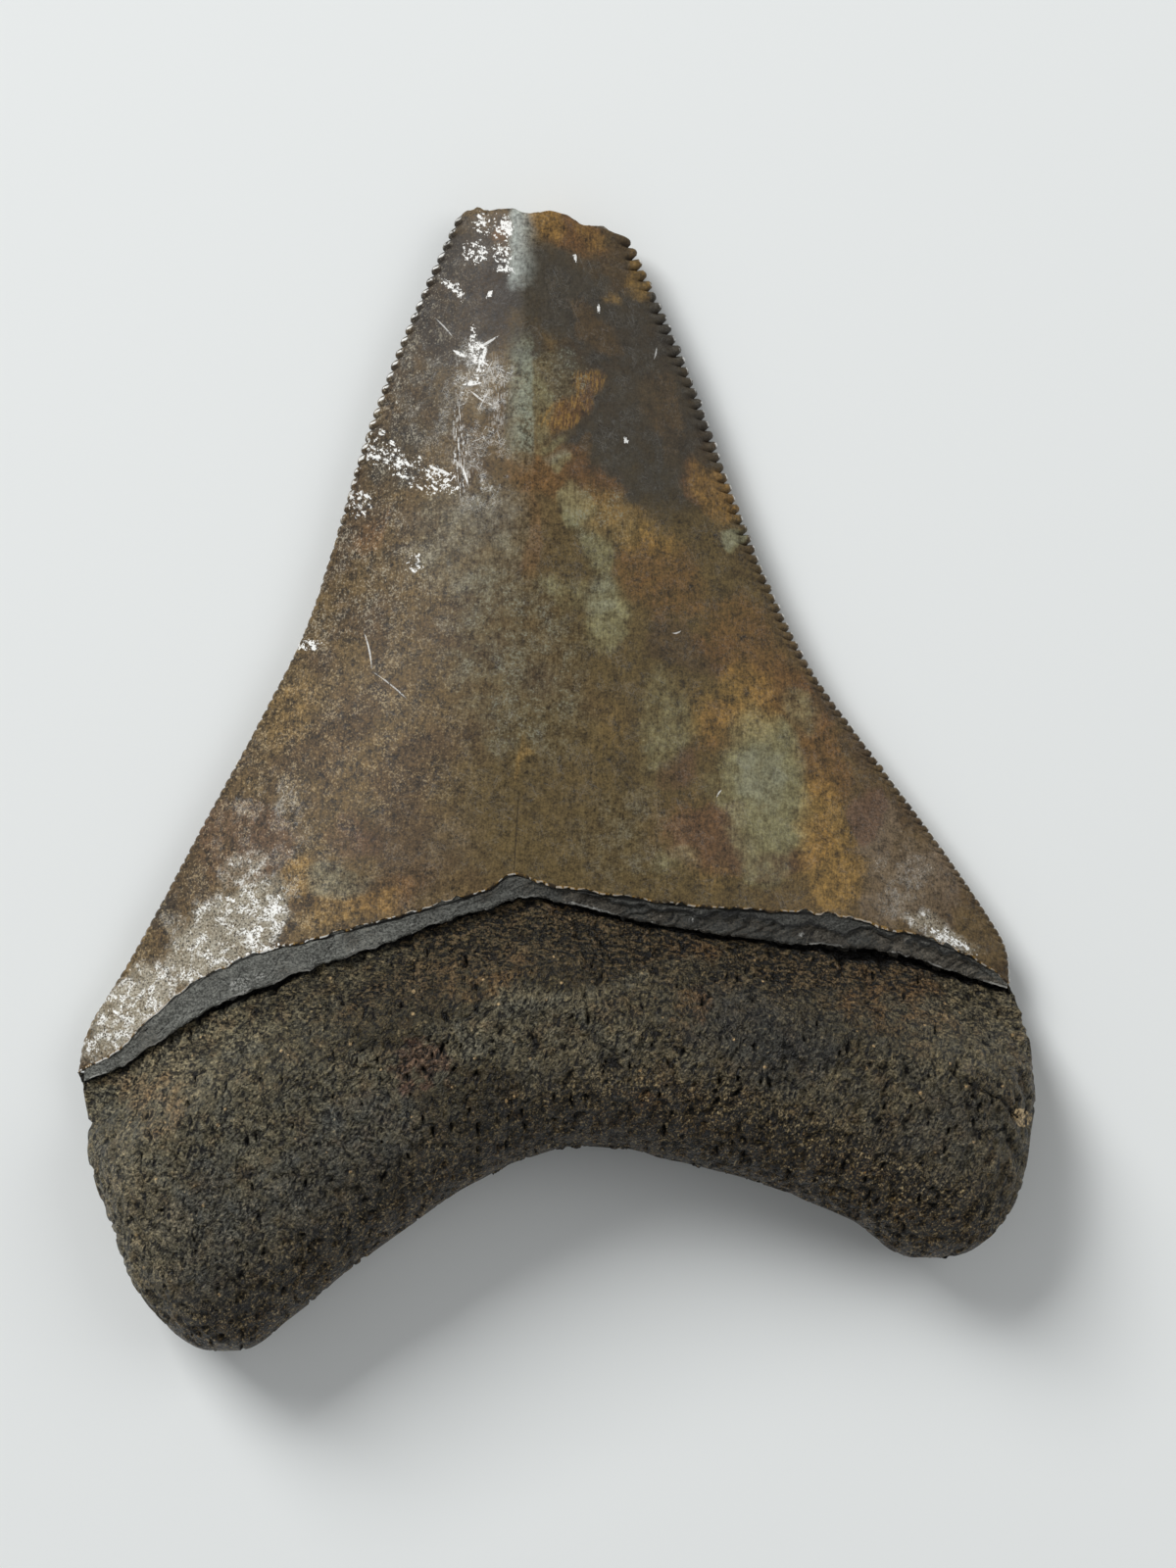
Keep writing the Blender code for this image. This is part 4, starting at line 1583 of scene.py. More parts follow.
@dataclass(frozen=True)
class EnamelFinish:
    """Dark, stained and scratched enamel with silvery wear, which is painted in part as highlights."""

    brown: Colour = srgb(91, 74, 46)
    dark: Colour = srgb(44, 37, 30)
    umber: Colour = srgb(70, 54, 38)
    pale: Colour = srgb(164, 157, 138)
    gold: Colour = srgb(150, 117, 58)
    sand: Colour = srgb(164, 147, 114)
    blue: Colour = srgb(150, 155, 148)
    green: Colour = srgb(124, 127, 110)
    silver: Colour = srgb(240, 240, 236)
    hairs: tuple[int, ...] = (18, 64, 112, 155)  # which ways fine scratches run, in degrees
    tints: tuple[Tint, ...] = (  # the lower ones first
        Tint("olive", srgb(87, 73, 43), (
            (6, -2, 15, 9), (7, 12, 8, 12, 25),
        ), opacity=0.85, ragged=2.0, soft=0.45),
        Tint("moss", srgb(100, 93, 70), (
            (-2.5, 7.5, 5.5, 8, 10, 0.62), (0.6, 26, 2.2, 2.4, 10), (5, -3.5, 5, 4, 0, 0.4),
            (3.4, 17, 3, 2, -20, 0.8),
        ), opacity=0.5, ragged=4.0, soft=0.4),
        Tint("mauve", srgb(108, 93, 75), (
            (-6.2, -4, 3, 3, 0, 0.36), (23.5, -7.5, 4, 4, -30, 0.75), (21.4, -3.6, 1.8, 3, 20),
            (-3, 17.5, 2.4, 1.6, 0, 0.4),
        ), opacity=0.7, ragged=2.4, soft=0.45),
        Tint("plum", srgb(86, 62, 46), (
            (-20, -4.5, 4.5, 3, 0, 0.7), (10.5, -4.2, 3.2, 2.2, -20), (15.2, -5.8, 2.4, 1.2, 10),
            (20.8, -2.6, 1.5, 2, -10), (8.6, 0.8, 1.6, 1.8, 0, 0.7), (-13.5, -4, 2.4, 1.6, 0, 0.6),
            (8.8, -4.2, 2.2, 2.4, 0, 0.8),
        ), opacity=0.65, soft=0.4),
        Tint("slate", srgb(56, 53, 46), (
            (5.9, 27.5, 5.4, 9, 16), (5.6, 21, 6.4, 4.4, -20), (2.2, 21.6, 2.4, 1.4, 20),
            (2, 31, 3.4, 2.6, 0, 1.3), (-0.6, 31.8, 3.6, 2.8, 0, 1.2), (-7.6, 35, 2.4, 2.6, 0, 0.9),
            (-1.4, 28.2, 1.6, 1.4, 0, 0.8), (-8.6, 27, 3.6, 7, 14, 0.5), (-11, 21, 3, 3, 0, 0.6),
        ), opacity=0.86, ragged=4.0, soft=0.7),
        Tint("soot", dark, (
            (-5.8, 30.9, 3.8, 4.8, 15, 1.05), (-6.4, 34, 2.6, 3, 0, 1.1), (-9.5, 23.5, 2.6, 3, 15, 0.4),
            (-25.8, -9, 2, 1.4, 50, 0.8),
        ), opacity=0.75),
        Tint("umber", srgb(77, 62, 41), (
            (8, 21.4, 1, 2.6, 14, 0.5), (3.4, 19, 2.4, 0.8, -24, 0.6), (4.3, 34.3, 1.8, 1.8),
            (3, 29.6, 3, 1.4, -40, 0.75), (7.2, 24.5, 1.4, 2.4, 10, 0.6), (0.4, 31.8, 1.6, 1.2, 0, 0.25),
            (2, 21, 1.2, 0.7, 30, 0.9), (8.8, 8.5, 3.4, 2, -20, 0.8), (-24, -6, 1.6, 2.4, 40, 0.8),
        )),
        Tint("rust", srgb(114, 77, 38), (
            (0.6, 35.6, 3, 1.4, -8, 0.9), (2.5, 25.4, 1.8, 1.6, -25, 0.62), (0.8, 23.4, 2.4, 1, 22, 0.95),
            (0.6, 19.2, 4.4, 2, -14, 0.95), (-1.6, 15.6, 0.6, 2.8, 4, 0.6), (7.2, 13, 3.6, 2.8, -30, 0.62),
            (13, 8.5, 3, 4.6, 30, 0.66), (17.8, 1.2, 2.2, 3.8, 24, 0.7), (17.2, -4, 1.4, 2, 0, 0.6),
            (-10.6, -7.6, 3.6, 1.6, 14, 0.45), (-11.9, 16.2, 0.9, 1.8, 0, 0.55), (-0.1, -8, 0.6, 0.4, 0, 0.8),
            (6.2, 12.4, 0.8, 0.25, 14), (11, 3, 2, 2.4, 0, 0.6), (8.6, -3.6, 3.6, 3, 0, 0.4),
            (15.4, 5.4, 2.2, 3, 30, 0.8), (-3.4, 34.9, 0.9, 0.6, 0, 1.2), (10.4, 18.6, 1.2, 2.4, 18, 0.8),
            (17.6, 2.8, 1.8, 2.6, 30, 0.8), (2.4, 24, 1.4, 1.2, 20, 0.7),
        ), opacity=0.48, ragged=5.0, soft=0.7),
        Tint("gold", gold, (
            (-0.5, 35.8, 1.2, 1.2, 0, 0.8), (4.8, 16.4, 4, 1.8, -30, 0.62), (10.8, 18.4, 1.1, 2.6, 18, 0.5),
            (10.4, 4.2, 2.6, 2.4, 10, 0.42), (18.6, -6.6, 2, 3, -10, 0.85), (-16.6, -7.4, 2, 1.6, 20, 0.6),
            (-17, 4, 1.8, 3.2, -28, 0.34), (3.2, 4.2, 1.6, 2.6, 0, 0.25), (-1.8, 1, 0.3, 2, 0, 0.6),
            (-13, 0.5, 4, 3, 0, 0.2), (-13, -8.4, 4.4, 1.4, 18, 0.5), (2.2, 35.4, 1.2, 0.8, 0, 0.55),
            (4, 32, 0.8, 0.8, 0, 0.45), (5.8, 33, 0.9, 2, 20, 0.85), (17.6, -3.4, 1.8, 4.4, -6, 0.8),
            (12.8, 4.6, 2.6, 3, 30, 0.6), (10.4, -6.4, 2.4, 1.4, 0, 0.3),
        ), opacity=0.58, ragged=5.0, soft=0.8),
        Tint("sage", srgb(143, 141, 104), (
            (1.6, 17.6, 1.3, 1.8, 14), (3, 14.4, 1, 2, 10, 0.6), (3.8, 10.8, 1.8, 2.2, -8, 0.85),
            (0.8, 12.4, 3, 1, -28, 0.4), (12.2, 15.6, 1.1, 0.6, 10, 0.9), (14, -1, 3.1, 5.2, 8, 1),
            (14.2, -3.6, 2.4, 3.2, -12, 0.7), (7.6, -5.6, 1.8, 1.2, 10, 0.4), (0.2, 20.2, 0.6, 0.5, 0, 0.9),
            (-0.4, 21.4, 1.6, 0.4, 24, 0.6), (16.4, 4.2, 1.6, 1.6, 0, 0.5), (14.4, -6.4, 2, 1.2, 0, 0.5),
            (7, 3.4, 2, 4, 0, 0.4), (-1, 24, 0.9, 3, 0, 0.5),
        ), opacity=0.55, ragged=5.6, soft=1.0),
        Tint("stone", srgb(128, 130, 112), (
            (-14.2, -7.2, 1.9, 1.1, 24, 0.8), (3.4, 11.8, 1.6, 1.4, 0, 0.5), (13.6, -0.4, 1.8, 2.6, 10, 0.9),
            (-0.2, 20.6, 0.8, 0.4, 0, 0.9), (12, 15.6, 1.2, 0.5, 10, 0.6), (-3.4, 17.6, 1.6, 1.2, 0, 0.3),
            (-5.4, 15.4, 4.6, 4.4, 0, 0.42),
        ), opacity=0.48, ragged=5.4, soft=0.9),
    )
    film: Tint = Tint("film", pale, (  # a net of fine pale veins
        (-6, 12, 7, 11, -12, 0.36), (-4.4, 25.6, 2.4, 4, 8, 0.62), (-19, -3.4, 5, 4.6, 35, 0.5),
        (-21.4, -10.2, 6.2, 3, 32, 1.15), (-27.6, -15.6, 5.6, 2.6, 46, 1.05),
        (-18.6, -8.6, 2.2, 2.8, 0, 1.05), (-20.4, -6.2, 2.2, 1.3, 30, 0.85), (-20.6, -2.6, 1.6, 0.9, 30, 0.6),
        (-17.2, -2, 1.2, 0.8, 0, 0.6), (23, -7, 2.6, 3.6, -30, 0.56), (25.2, -10.2, 3.4, 1, -26, 0.95),
        (4.4, 2, 4, 5, 0, 0.3), (-4.4, 20.5, 2.4, 5, 0, 0.5), (-8.6, 25, 3, 5.6, 12, 0.46),
        (-22, -5.6, 3, 1, 60, 0.4),
    ))
    glints: Tint = Tint("glints", silver, (  # bold silvery flakes and strokes: wear, painted in part as highlights
        (-4.3, 36.2, 1.5, 1, -10, 0.84), (-5, 34.3, 1.3, 1.2, 0, 0.74), (-3.1, 36, 0.5, 0.9, 10, 1.5),
        (-3.3, 34.2, 0.7, 1.6, 8, 0.85), (-3.2, 33.1, 0.9, 0.4, -16, 1.3), (-6.4, 32, 1.4, 0.4, -38, 1.05),
        (-4.9, 27.6, 0.8, 2, 8, 0.85), (-5.2, 25.6, 0.7, 0.5, 8, 0.9), (1.4, 33.9, 0.16, 0.26, 10, 2.2),
        (2.9, 30.6, 0.12, 0.2, 20, 1.8), (4.9, 21.9, 0.13, 0.2, -10, 2), (-4.1, 31.6, 0.2, 0.2, 0, 2.2),
        (-8.4, 19.6, 3.4, 1.3, -24, 0.72), (-11.2, 21.4, 1.3, 1.6, 0, 0.76), (-12.6, 17.8, 1.2, 1.2, 0, 0.72),
        (-9, 13.8, 0.8, 0.7, 20, 0.86), (-10, 20.4, 1.6, 0.4, -30, 1), (-7, 19.6, 1.2, 0.25, -34, 1),
        (-16, 8.6, 1, 0.5, 0, 1), (-18, -8.5, 0.7, 0.7, 20, 1.2), (-19.4, -10.3, 0.8, 0.5, 45, 1.1),
        (-20.2, -8.6, 1.8, 0.3, -22, 1), (-28.4, -15, 1.2, 0.9, 50, 0.7), (-30.4, -18, 0.8, 0.8, 40, 0.8),
        (26.2, -10.9, 2.4, 0.5, -28, 0.85), (-19.4, -11.6, 2.4, 0.35, 22, 1),
    ))
    streaks: Tint = Tint("streaks", silver, (  # fine silvery streaks along the tooth, painted in part as glints
        (-6, 21.2, 0.55, 3.4, 4), (-3.6, 25, 1, 3, 0, 0.5),
    ))
    pocks: Tint = Tint("pocks", dark, (  # chains of small dark pocks
        (-7.2, -4.6, 2.4, 0.5, -32), (-4.4, -2.4, 2, 0.3, 12), (3.2, 22.5, 0.7, 0.3, 10, 1.2),
    ))
    # bright scratches and strokes near the tip: wear, painted in part as glints
    scratches: tuple[Scratch, ...] = (
        Scratch((-12.5, 9.6), (-11.9, 6.9), bend=0.12, strength=0.7),
        Scratch((-11.9, 6.9), (-9.3, 4.8), bend=0.1, strength=0.5),
        Scratch((-8.0, 30.3), (-6.5, 28.6), width=0.06, bend=0.06, strength=0.5),
        Scratch((-6.7, 28.0), (-5.6, 27.4), width=0.17, bend=-0.05, strength=0.95),
        Scratch((-5.3, 27.8), (-3.5, 28.9), width=0.1, strength=0.7),
        Scratch((-4.4, 28.2), (-5.0, 26.7), width=0.24, strength=0.95),
        Scratch((-6.1, 25.6), (-4.6, 25.7), width=0.17, bend=0.04, strength=0.95),
        Scratch((-5.6, 25.3), (-4.4, 24.3), width=0.08, strength=0.7),
        Scratch((-8.2, 20.2), (-6.6, 19.6), width=0.14, bend=0.06, strength=0.9),
        Scratch((-6.1, 20.4), (-5.6, 18.9), width=0.12, bend=0.05, strength=0.9),
        Scratch((6.7, 28.3), (6.5, 27.4), width=0.07, bend=0.05),
        Scratch((10.5, -1.4), (10.9, -0.8), width=0.06, bend=0.05),
        Scratch((7.6, 9.4), (8.3, 9.6), width=0.06, bend=-0.12),
    )

    def crack(self, shop: Shop) -> Mask:
        """The hairline that runs up from the middle of the enamel's edge."""
        return shop.stroke(Scratch((-2.6, -7.4), (-2.2, -0.4), width=0.055, bend=0.05, strength=0.6))

    def make(self, piece: Thing) -> bpy.types.Material:
        """Make the piece's material, and mark its stains on the piece.

        Args:
            piece: The crown.

        Returns:
            The material.
        """
        points = strayed(piece, (5.0, 0.9), (1.8, 0.5), (0.8, 0.3))
        for tint in self.tints:
            tint.mark(piece, points)
        self.film.mark(piece, strayed(piece, (1.8, 0.5), (0.8, 0.3)))
        self.glints.mark(piece, strayed(piece, (0.8, 0.15)))
        for tint in (self.pocks, self.streaks):
            tint.mark(piece, strayed(piece, (0.8, 0.3)))
        shop = Shop("fossil_enamel")
        broad = shop.noise(4.0, 4, seed=1)
        rough = shop.noise(1.5, 7, seed=2, rough=0.68)
        mottle = shop.noise(0.8, 5, seed=3, rough=0.66)
        grain = shop.noise(0.26, 3, seed=4, rough=0.62)
        speck = shop.noise(0.13, 2, seed=41, rough=0.6)
        brushed = shop.noise(0.24, 2, stretch=(0.5, 5.0, 1.0), turn=-3, seed=6)
        film, wear_glint = shop.attribute("film"), shop.attribute("glints")
        paint = shop.colour(self.brown).under(self.umber, broad.ramp(0.42, 0.6) * 0.6)
        edges = rough * 0.5 + mottle * 0.2 + grain * 0.14 + brushed * 0.16
        for tint in self.tints:
            paint = paint.under(tint.colour, shop.cover(tint, edges))
        hatch = shop.noise(0.15, 2, stretch=(0.9, 6.0, 1.0), turn=-10, seed=7).ramp(0.44, 0.62)
        x, y = shop.axis("X"), shop.axis("Y")
        hatch = hatch * y.ramp(29.0, 27.5) * y.ramp(21.0, 22.5)
        paint = paint.under(self.gold, shop.attribute("rust").ramp(0.15, 0.6) * hatch * 0.55)
        paint = self.stripe(shop, paint, rough, grain)
        side = x.ramp(-3.0, -11.0)  # the left side has more wear, speckle and painted glints
        side = side * (1.0 - y.ramp(-0.5, -4.0) * x.ramp(-17.0, -11.0) * 0.75)
        spots = (mottle - 0.5) * 1.6 + (grain - 0.5) * 1.8 + (speck - 0.5) * 1.6 + (brushed - 0.5) * 0.7
        calm = shop.attribute("slate").higher(shop.attribute("sage")).lower(1.0) * (1.0 - side)
        paint = paint.lit((spots * (side * 0.6 + 1.15 - calm * 0.4) + 1.0).higher(0.2))
        paint = paint.under(self.dark, mottle.ramp(0.43, 0.33) * (0.12 + film * 0.4))
        dust_and_glints = (speck * 0.6 + grain * 0.4 + (rough - 0.5) * 0.4).ramp(0.55, 0.62)
        low = y.ramp(11.0, 5.0)  # pale specks of wear, painted in part as glints: tan low down and grey above
        paint = paint.under(self.pale, dust_and_glints * side * (1.0 - low) * 0.6)
        paint = paint.under(self.sand, dust_and_glints * side * low * 0.6)
        paint = paint.under(self.green, dust_and_glints * shop.attribute("moss").ramp(0.2, 0.7) * (1.0 - side) * 0.6)
        pocks = shop.attribute("pocks").ramp(0.3, 0.9) * (speck * 0.5 + grain * 0.5).ramp(0.54, 0.6)
        paint = paint.under(self.dark, pocks)
        paint = self.silvered(shop, paint, film, wear_glint, rough, mottle, grain, speck)
        paint = self.edged(shop, paint, x, y)
        crack = self.crack(shop)
        paint = paint.under(self.dark, crack)
        roughness = 0.5 + (grain - 0.5) * 0.4 + (broad - 0.5) * 0.2 - wear_glint * 0.04
        shop.finish(paint, roughness, shop.bump(mottle * 0.4 + grain * 0.4 - crack, 0.05, 0.8), 0.28)
        return shop.material

    def edged(self, shop: Shop, paint: Paint, x: Mask, y: Mask) -> Paint:
        """Paint shade into the cutting edges' grooves, highlights on their beads, and the rim over the
        bourlette.

        Args:
            shop: The material's shop.
            paint: The paint so far.
            x: Where it is across the tooth.
            y: Where it is along the tooth.

        Returns:
            The paint with its edges.
        """
        edge, groove, rim = (shop.attribute(name) for name in ("edge", "groove", "rim"))
        breaks = shop.noise(0.7, 3, seed=9, rough=0.65)
        # painted shade in the grooves between the serrations
        paint = paint.under(self.dark, groove * edge.ramp(0.15, 0.6) * 0.9)
        tip = x.ramp(-4.0, -8.0) * y.ramp(16.0, 21.0)  # the left edge near the tip gets painted highlight streaks across its knobs
        # painted highlights along the serrations' crests and rims
        bead_highlight = (1.0 - groove).ramp(0.75, 0.98) * edge.ramp(0.88, 0.97) * edge.ramp(1.0, 0.995, 0.4, 1.0)
        bead_highlight = bead_highlight * (1.0 - tip)
        shine = (1.0 - groove).ramp(0.94, 0.985) * edge.ramp(0.58, 0.68) * edge.ramp(0.98, 0.9) * tip
        bead_highlight = bead_highlight.higher(shine)
        highlight_dots = x.ramp(18.0, 20.5) * y.ramp(1.0, -1.0) * 0.09  # painted highlight dots at the ends of the right edge's serrations, low down
        shiny = breaks + tip * 0.12 + x.ramp(6.0, 9.0) * y.ramp(30.0, 27.0) * 0.05 + highlight_dots
        paint = paint.under(self.silver, bead_highlight * shiny.ramp(0.5, 0.56) * 0.9)
        paint = paint.under(self.gold, rim.ramp(0.35, 0.6) * breaks.ramp(0.46, 0.5) * 0.85)
        teeth = shop.noise(0.34, 2, stretch=(1.0, 2.0, 2.0), seed=52) * 0.7 + breaks * 0.3
        teeth = teeth - x.ramp(-20.0, -12.0) * 0.03
        # a painted highlight along the ragged rim, and painted shade in its notches below
        light = rim.ramp(0.5, 0.75) * teeth.ramp(0.46, 0.5) * x.ramp(-1.0, -4.0, 0.4, 0.85)
        paint = paint.under(self.silver, light)
        return paint.under(self.dark, rim.ramp(0.3, 0.6) * teeth.ramp(0.44, 0.4) * 0.85)

    def stripe(self, shop: Shop, paint: Paint, rough: Mask, grain: Mask) -> Paint:
        """Paint the blue-grey band by the crest, in part a painted reflection along the ridge: wide at the
        tip, narrow and greener lower down.

        Args:
            shop: The material's shop.
            paint: The paint so far.
            rough: Noise that makes the band's sides stray.
            grain: Fine noise that thins it.

        Returns:
            The paint with its band.
        """
        y = shop.axis("Y") + (rough - 0.5) * 4.0
        x = shop.axis("X") + (rough - 0.5) * 1.2
        upper = x.ramp(-3.2, -2.6) * x.ramp(-0.9, -2.7) * y.ramp(31.6, 33.0)
        lower = x.ramp(-3.6, -1.9) * x.ramp(-1.25, -1.55) * y.ramp(29.6, 27.0) * y.ramp(19.0, 22.5)
        paint = paint.under(self.blue, upper * grain.ramp(0.3, 0.5, 0.75, 1.0) * 0.95)
        return paint.under(self.green, lower * (grain * 0.5 + rough * 0.5).ramp(0.38, 0.54, 0.35, 1.0) * 0.9)

    def silvered(
        self, shop: Shop, paint: Paint, film: Mask, wear_glint: Mask, rough: Mask, mottle: Mask, grain: Mask,
        speck: Mask,
    ) -> Paint:
        """Paint the silvery wear, in part as painted highlights: a pale film, veins, dashes, scratches and
        hairs.

        Args:
            shop: The material's shop.
            paint: The paint so far.
            film: Where the enamel has its pale film.
            wear_glint: Where it has flakes of wear, painted in part as highlights.
            rough: Noise, the broadest of four.
            mottle: Finer noise.
            grain: Fine noise.
            speck: The finest noise.

        Returns:
            The paint with its wear.
        """
        spread = (film + (rough - 0.5) * 2.4 + (mottle - 0.5) * 0.8).ramp(0.2, 1.2)
        paint = paint.under(self.pale, spread * speck.ramp(0.28, 0.56) * film.ramp(0.2, 1.1) * 0.84)
        gaps = (speck * 0.6 + grain * 0.4).ramp(0.46, 0.38) * film.ramp(0.4, 0.9) * 0.6
        paint = paint.under(self.dark, gaps)
        veins = shop.ridges(shop.noise(1.7, 5, seed=8, rough=0.62, wander=0.3), 0.07) * rough.ramp(0.44, 0.54)
        heap = speck * 0.5 + grain * 0.25 + mottle * 0.25
        marks = (heap + (film - 1.0) * 0.08 + (rough - 0.5) * 0.2).ramp(0.57, 0.63)
        marks = marks * film.ramp(0.2, 0.6) * 0.65
        marks = marks.higher(veins * spread * film.ramp(0.5, 0.95) * speck.ramp(0.42, 0.54) * 0.9)
        rag = (mottle - 0.5) * 1.4 + (speck - 0.5) * 1.0
        flakes = (wear_glint + (mottle + grain + speck * 0.6 - 1.3) * 3.2).ramp(1.05, 1.25)
        marks = marks.higher(flakes * wear_glint.ramp(0.15, 0.4) * speck.ramp(0.36, 0.5, 0.5, 1.0))
        away, pick = shop.cells(0.5, (1.7, 0.5, 1.0), -34, seed=-30)
        dash = (away + rag).ramp(0.4, 0.3) * (pick * 0.45 + wear_glint).ramp(0.9, 0.96)
        marks = marks.higher(dash * grain.ramp(0.36, 0.48))
        for scratch in self.scratches:
            marks = marks.higher(shop.stroke(scratch, rag) * (grain + speck).ramp(0.8, 0.92))
        threads = shop.noise(0.16, 2, stretch=(0.5, 6.0, 1.0), turn=4, seed=42).ramp(0.52, 0.58)
        marks = marks.higher(shop.attribute("streaks").ramp(0.1, 0.9) * threads * grain.ramp(0.4, 0.5) * 0.68)
        crest = shop.axis("Y").ramp(14.0, 19.0) * shop.axis("X").ramp(-8.0, -6.5) * 0.54 + 0.16
        for turn in self.hairs:
            hair = shop.noise(0.5, 1, stretch=(7.0, 0.36, 1.0), turn=turn, seed=turn)
            lines = shop.ridges(hair, 0.012) * rough.ramp(0.46, 0.56)
            marks = marks.higher(lines * (0.06 + film.ramp(0.35, 0.6) * crest))
        return paint.under(self.silver, marks)


@dataclass(frozen=True)
class BourletteFinish:
    """Matte blue-grey band with fine folds."""

    grey: Colour = srgb(112, 113, 107)
    shadow: Colour = srgb(66, 66, 62)
    dark: Colour = srgb(24, 24, 23)
    brown: Colour = srgb(70, 62, 50)
    pale: Colour = srgb(190, 190, 184)
    tints: tuple[Tint, ...] = (  # bright flecks, and the painted highlight on the edge of a flake
        Tint("flecks", pale, (
            (-20.4, -13.6, 0.9, 0.4, 20), (-19, -13.1, 0.4, 0.25), (-27.3, -17, 0.25, 0.2),
            (-12.9, -11.3, 0.2, 0.15), (16.2, -10.4, 0.2, 0.2), (9, -9.4, 0.2, 0.2),
        )),
        Tint("flake_highlight", pale, ((-20.5, -14.35, 1.2, 0.13, 30), (2.4, -8.6, 1.6, 0.1, -16))),
    )

    def make(self, piece: Thing) -> bpy.types.Material:
        """Make the piece's material, and mark its bright flecks on the piece.

        Args:
            piece: The bourlette.

        Returns:
            The material.
        """
        for tint in self.tints:
            tint.mark(piece, strayed(piece, (0.5, 0.08)))
        shop = Shop("bourlette")
        broad = shop.noise(3.0, 3, seed=11)
        wrinkles = (shop.noise(0.8, 5, stretch=(2.0, 0.6, 1.0), turn=18, seed=12, rough=0.66) - 0.5).size()
        grain = shop.noise(0.15, 4, seed=13, rough=0.75)
        hollow, lip, fold = (shop.attribute(name) for name in ("hollow", "lip", "fold"))
        height = (wrinkles * 5.0).lower(1.0) * 0.3 + grain * 0.7
        right = (shop.axis("X") + (broad - 0.5) * 12.0).ramp(-12.0, 2.0)
        paint = shop.colour(self.grey).under(self.shadow, right * 0.85)
        paint = paint.under(self.brown, (broad * 0.5 + grain * 0.5 + fold * 0.12).ramp(0.54, 0.62) * 0.6)
        # random grain, and lighter on the wrinkles' ridges than in their creases as painted shade
        contrast = ((height - 0.5) * 1.3 + (grain - 0.5) * 4.6 + 1.0).higher(0.3)
        paint = paint.lit(contrast * broad.ramp(0.3, 0.7, 0.9, 1.1))
        paint = paint.lit(shop.axis("X").ramp(18.0, 25.0, 1.0, 1.6))
        # painted shade in the gap under the enamel, the cracks, the fold and the wrinkles' creases
        creases = (hollow.ramp(0.05, 0.55) + wrinkles.ramp(0.016, 0.0) * 0.55).lower(1.0)
        paint = paint.under(self.dark, creases * 0.9)
        spark = (grain * 0.8 + broad * 0.2 + lip * 0.08).ramp(0.645, 0.67)
        # a painted highlight along the lip of the lower edge
        edge = lip.ramp(0.55, 0.8) * lip.ramp(1.0, 0.9) * (broad + grain * 0.4).ramp(0.68, 0.74)
        flecks = shop.attribute("flecks").ramp(0.2, 0.9) * (grain + wrinkles).ramp(0.56, 0.62)
        flake_highlight = shop.attribute("flake_highlight").ramp(0.2, 0.8) * grain.ramp(0.4, 0.48)
        bright = (spark * 0.6).higher(edge * 0.7).higher(flecks * 0.8).higher(flake_highlight * 0.85)
        paint = paint.under(self.pale, bright)
        shop.finish(paint, 0.5 + (grain - 0.5) * 0.3, shop.bump(height, 0.2, 1.0), 0.35)
        return shop.material


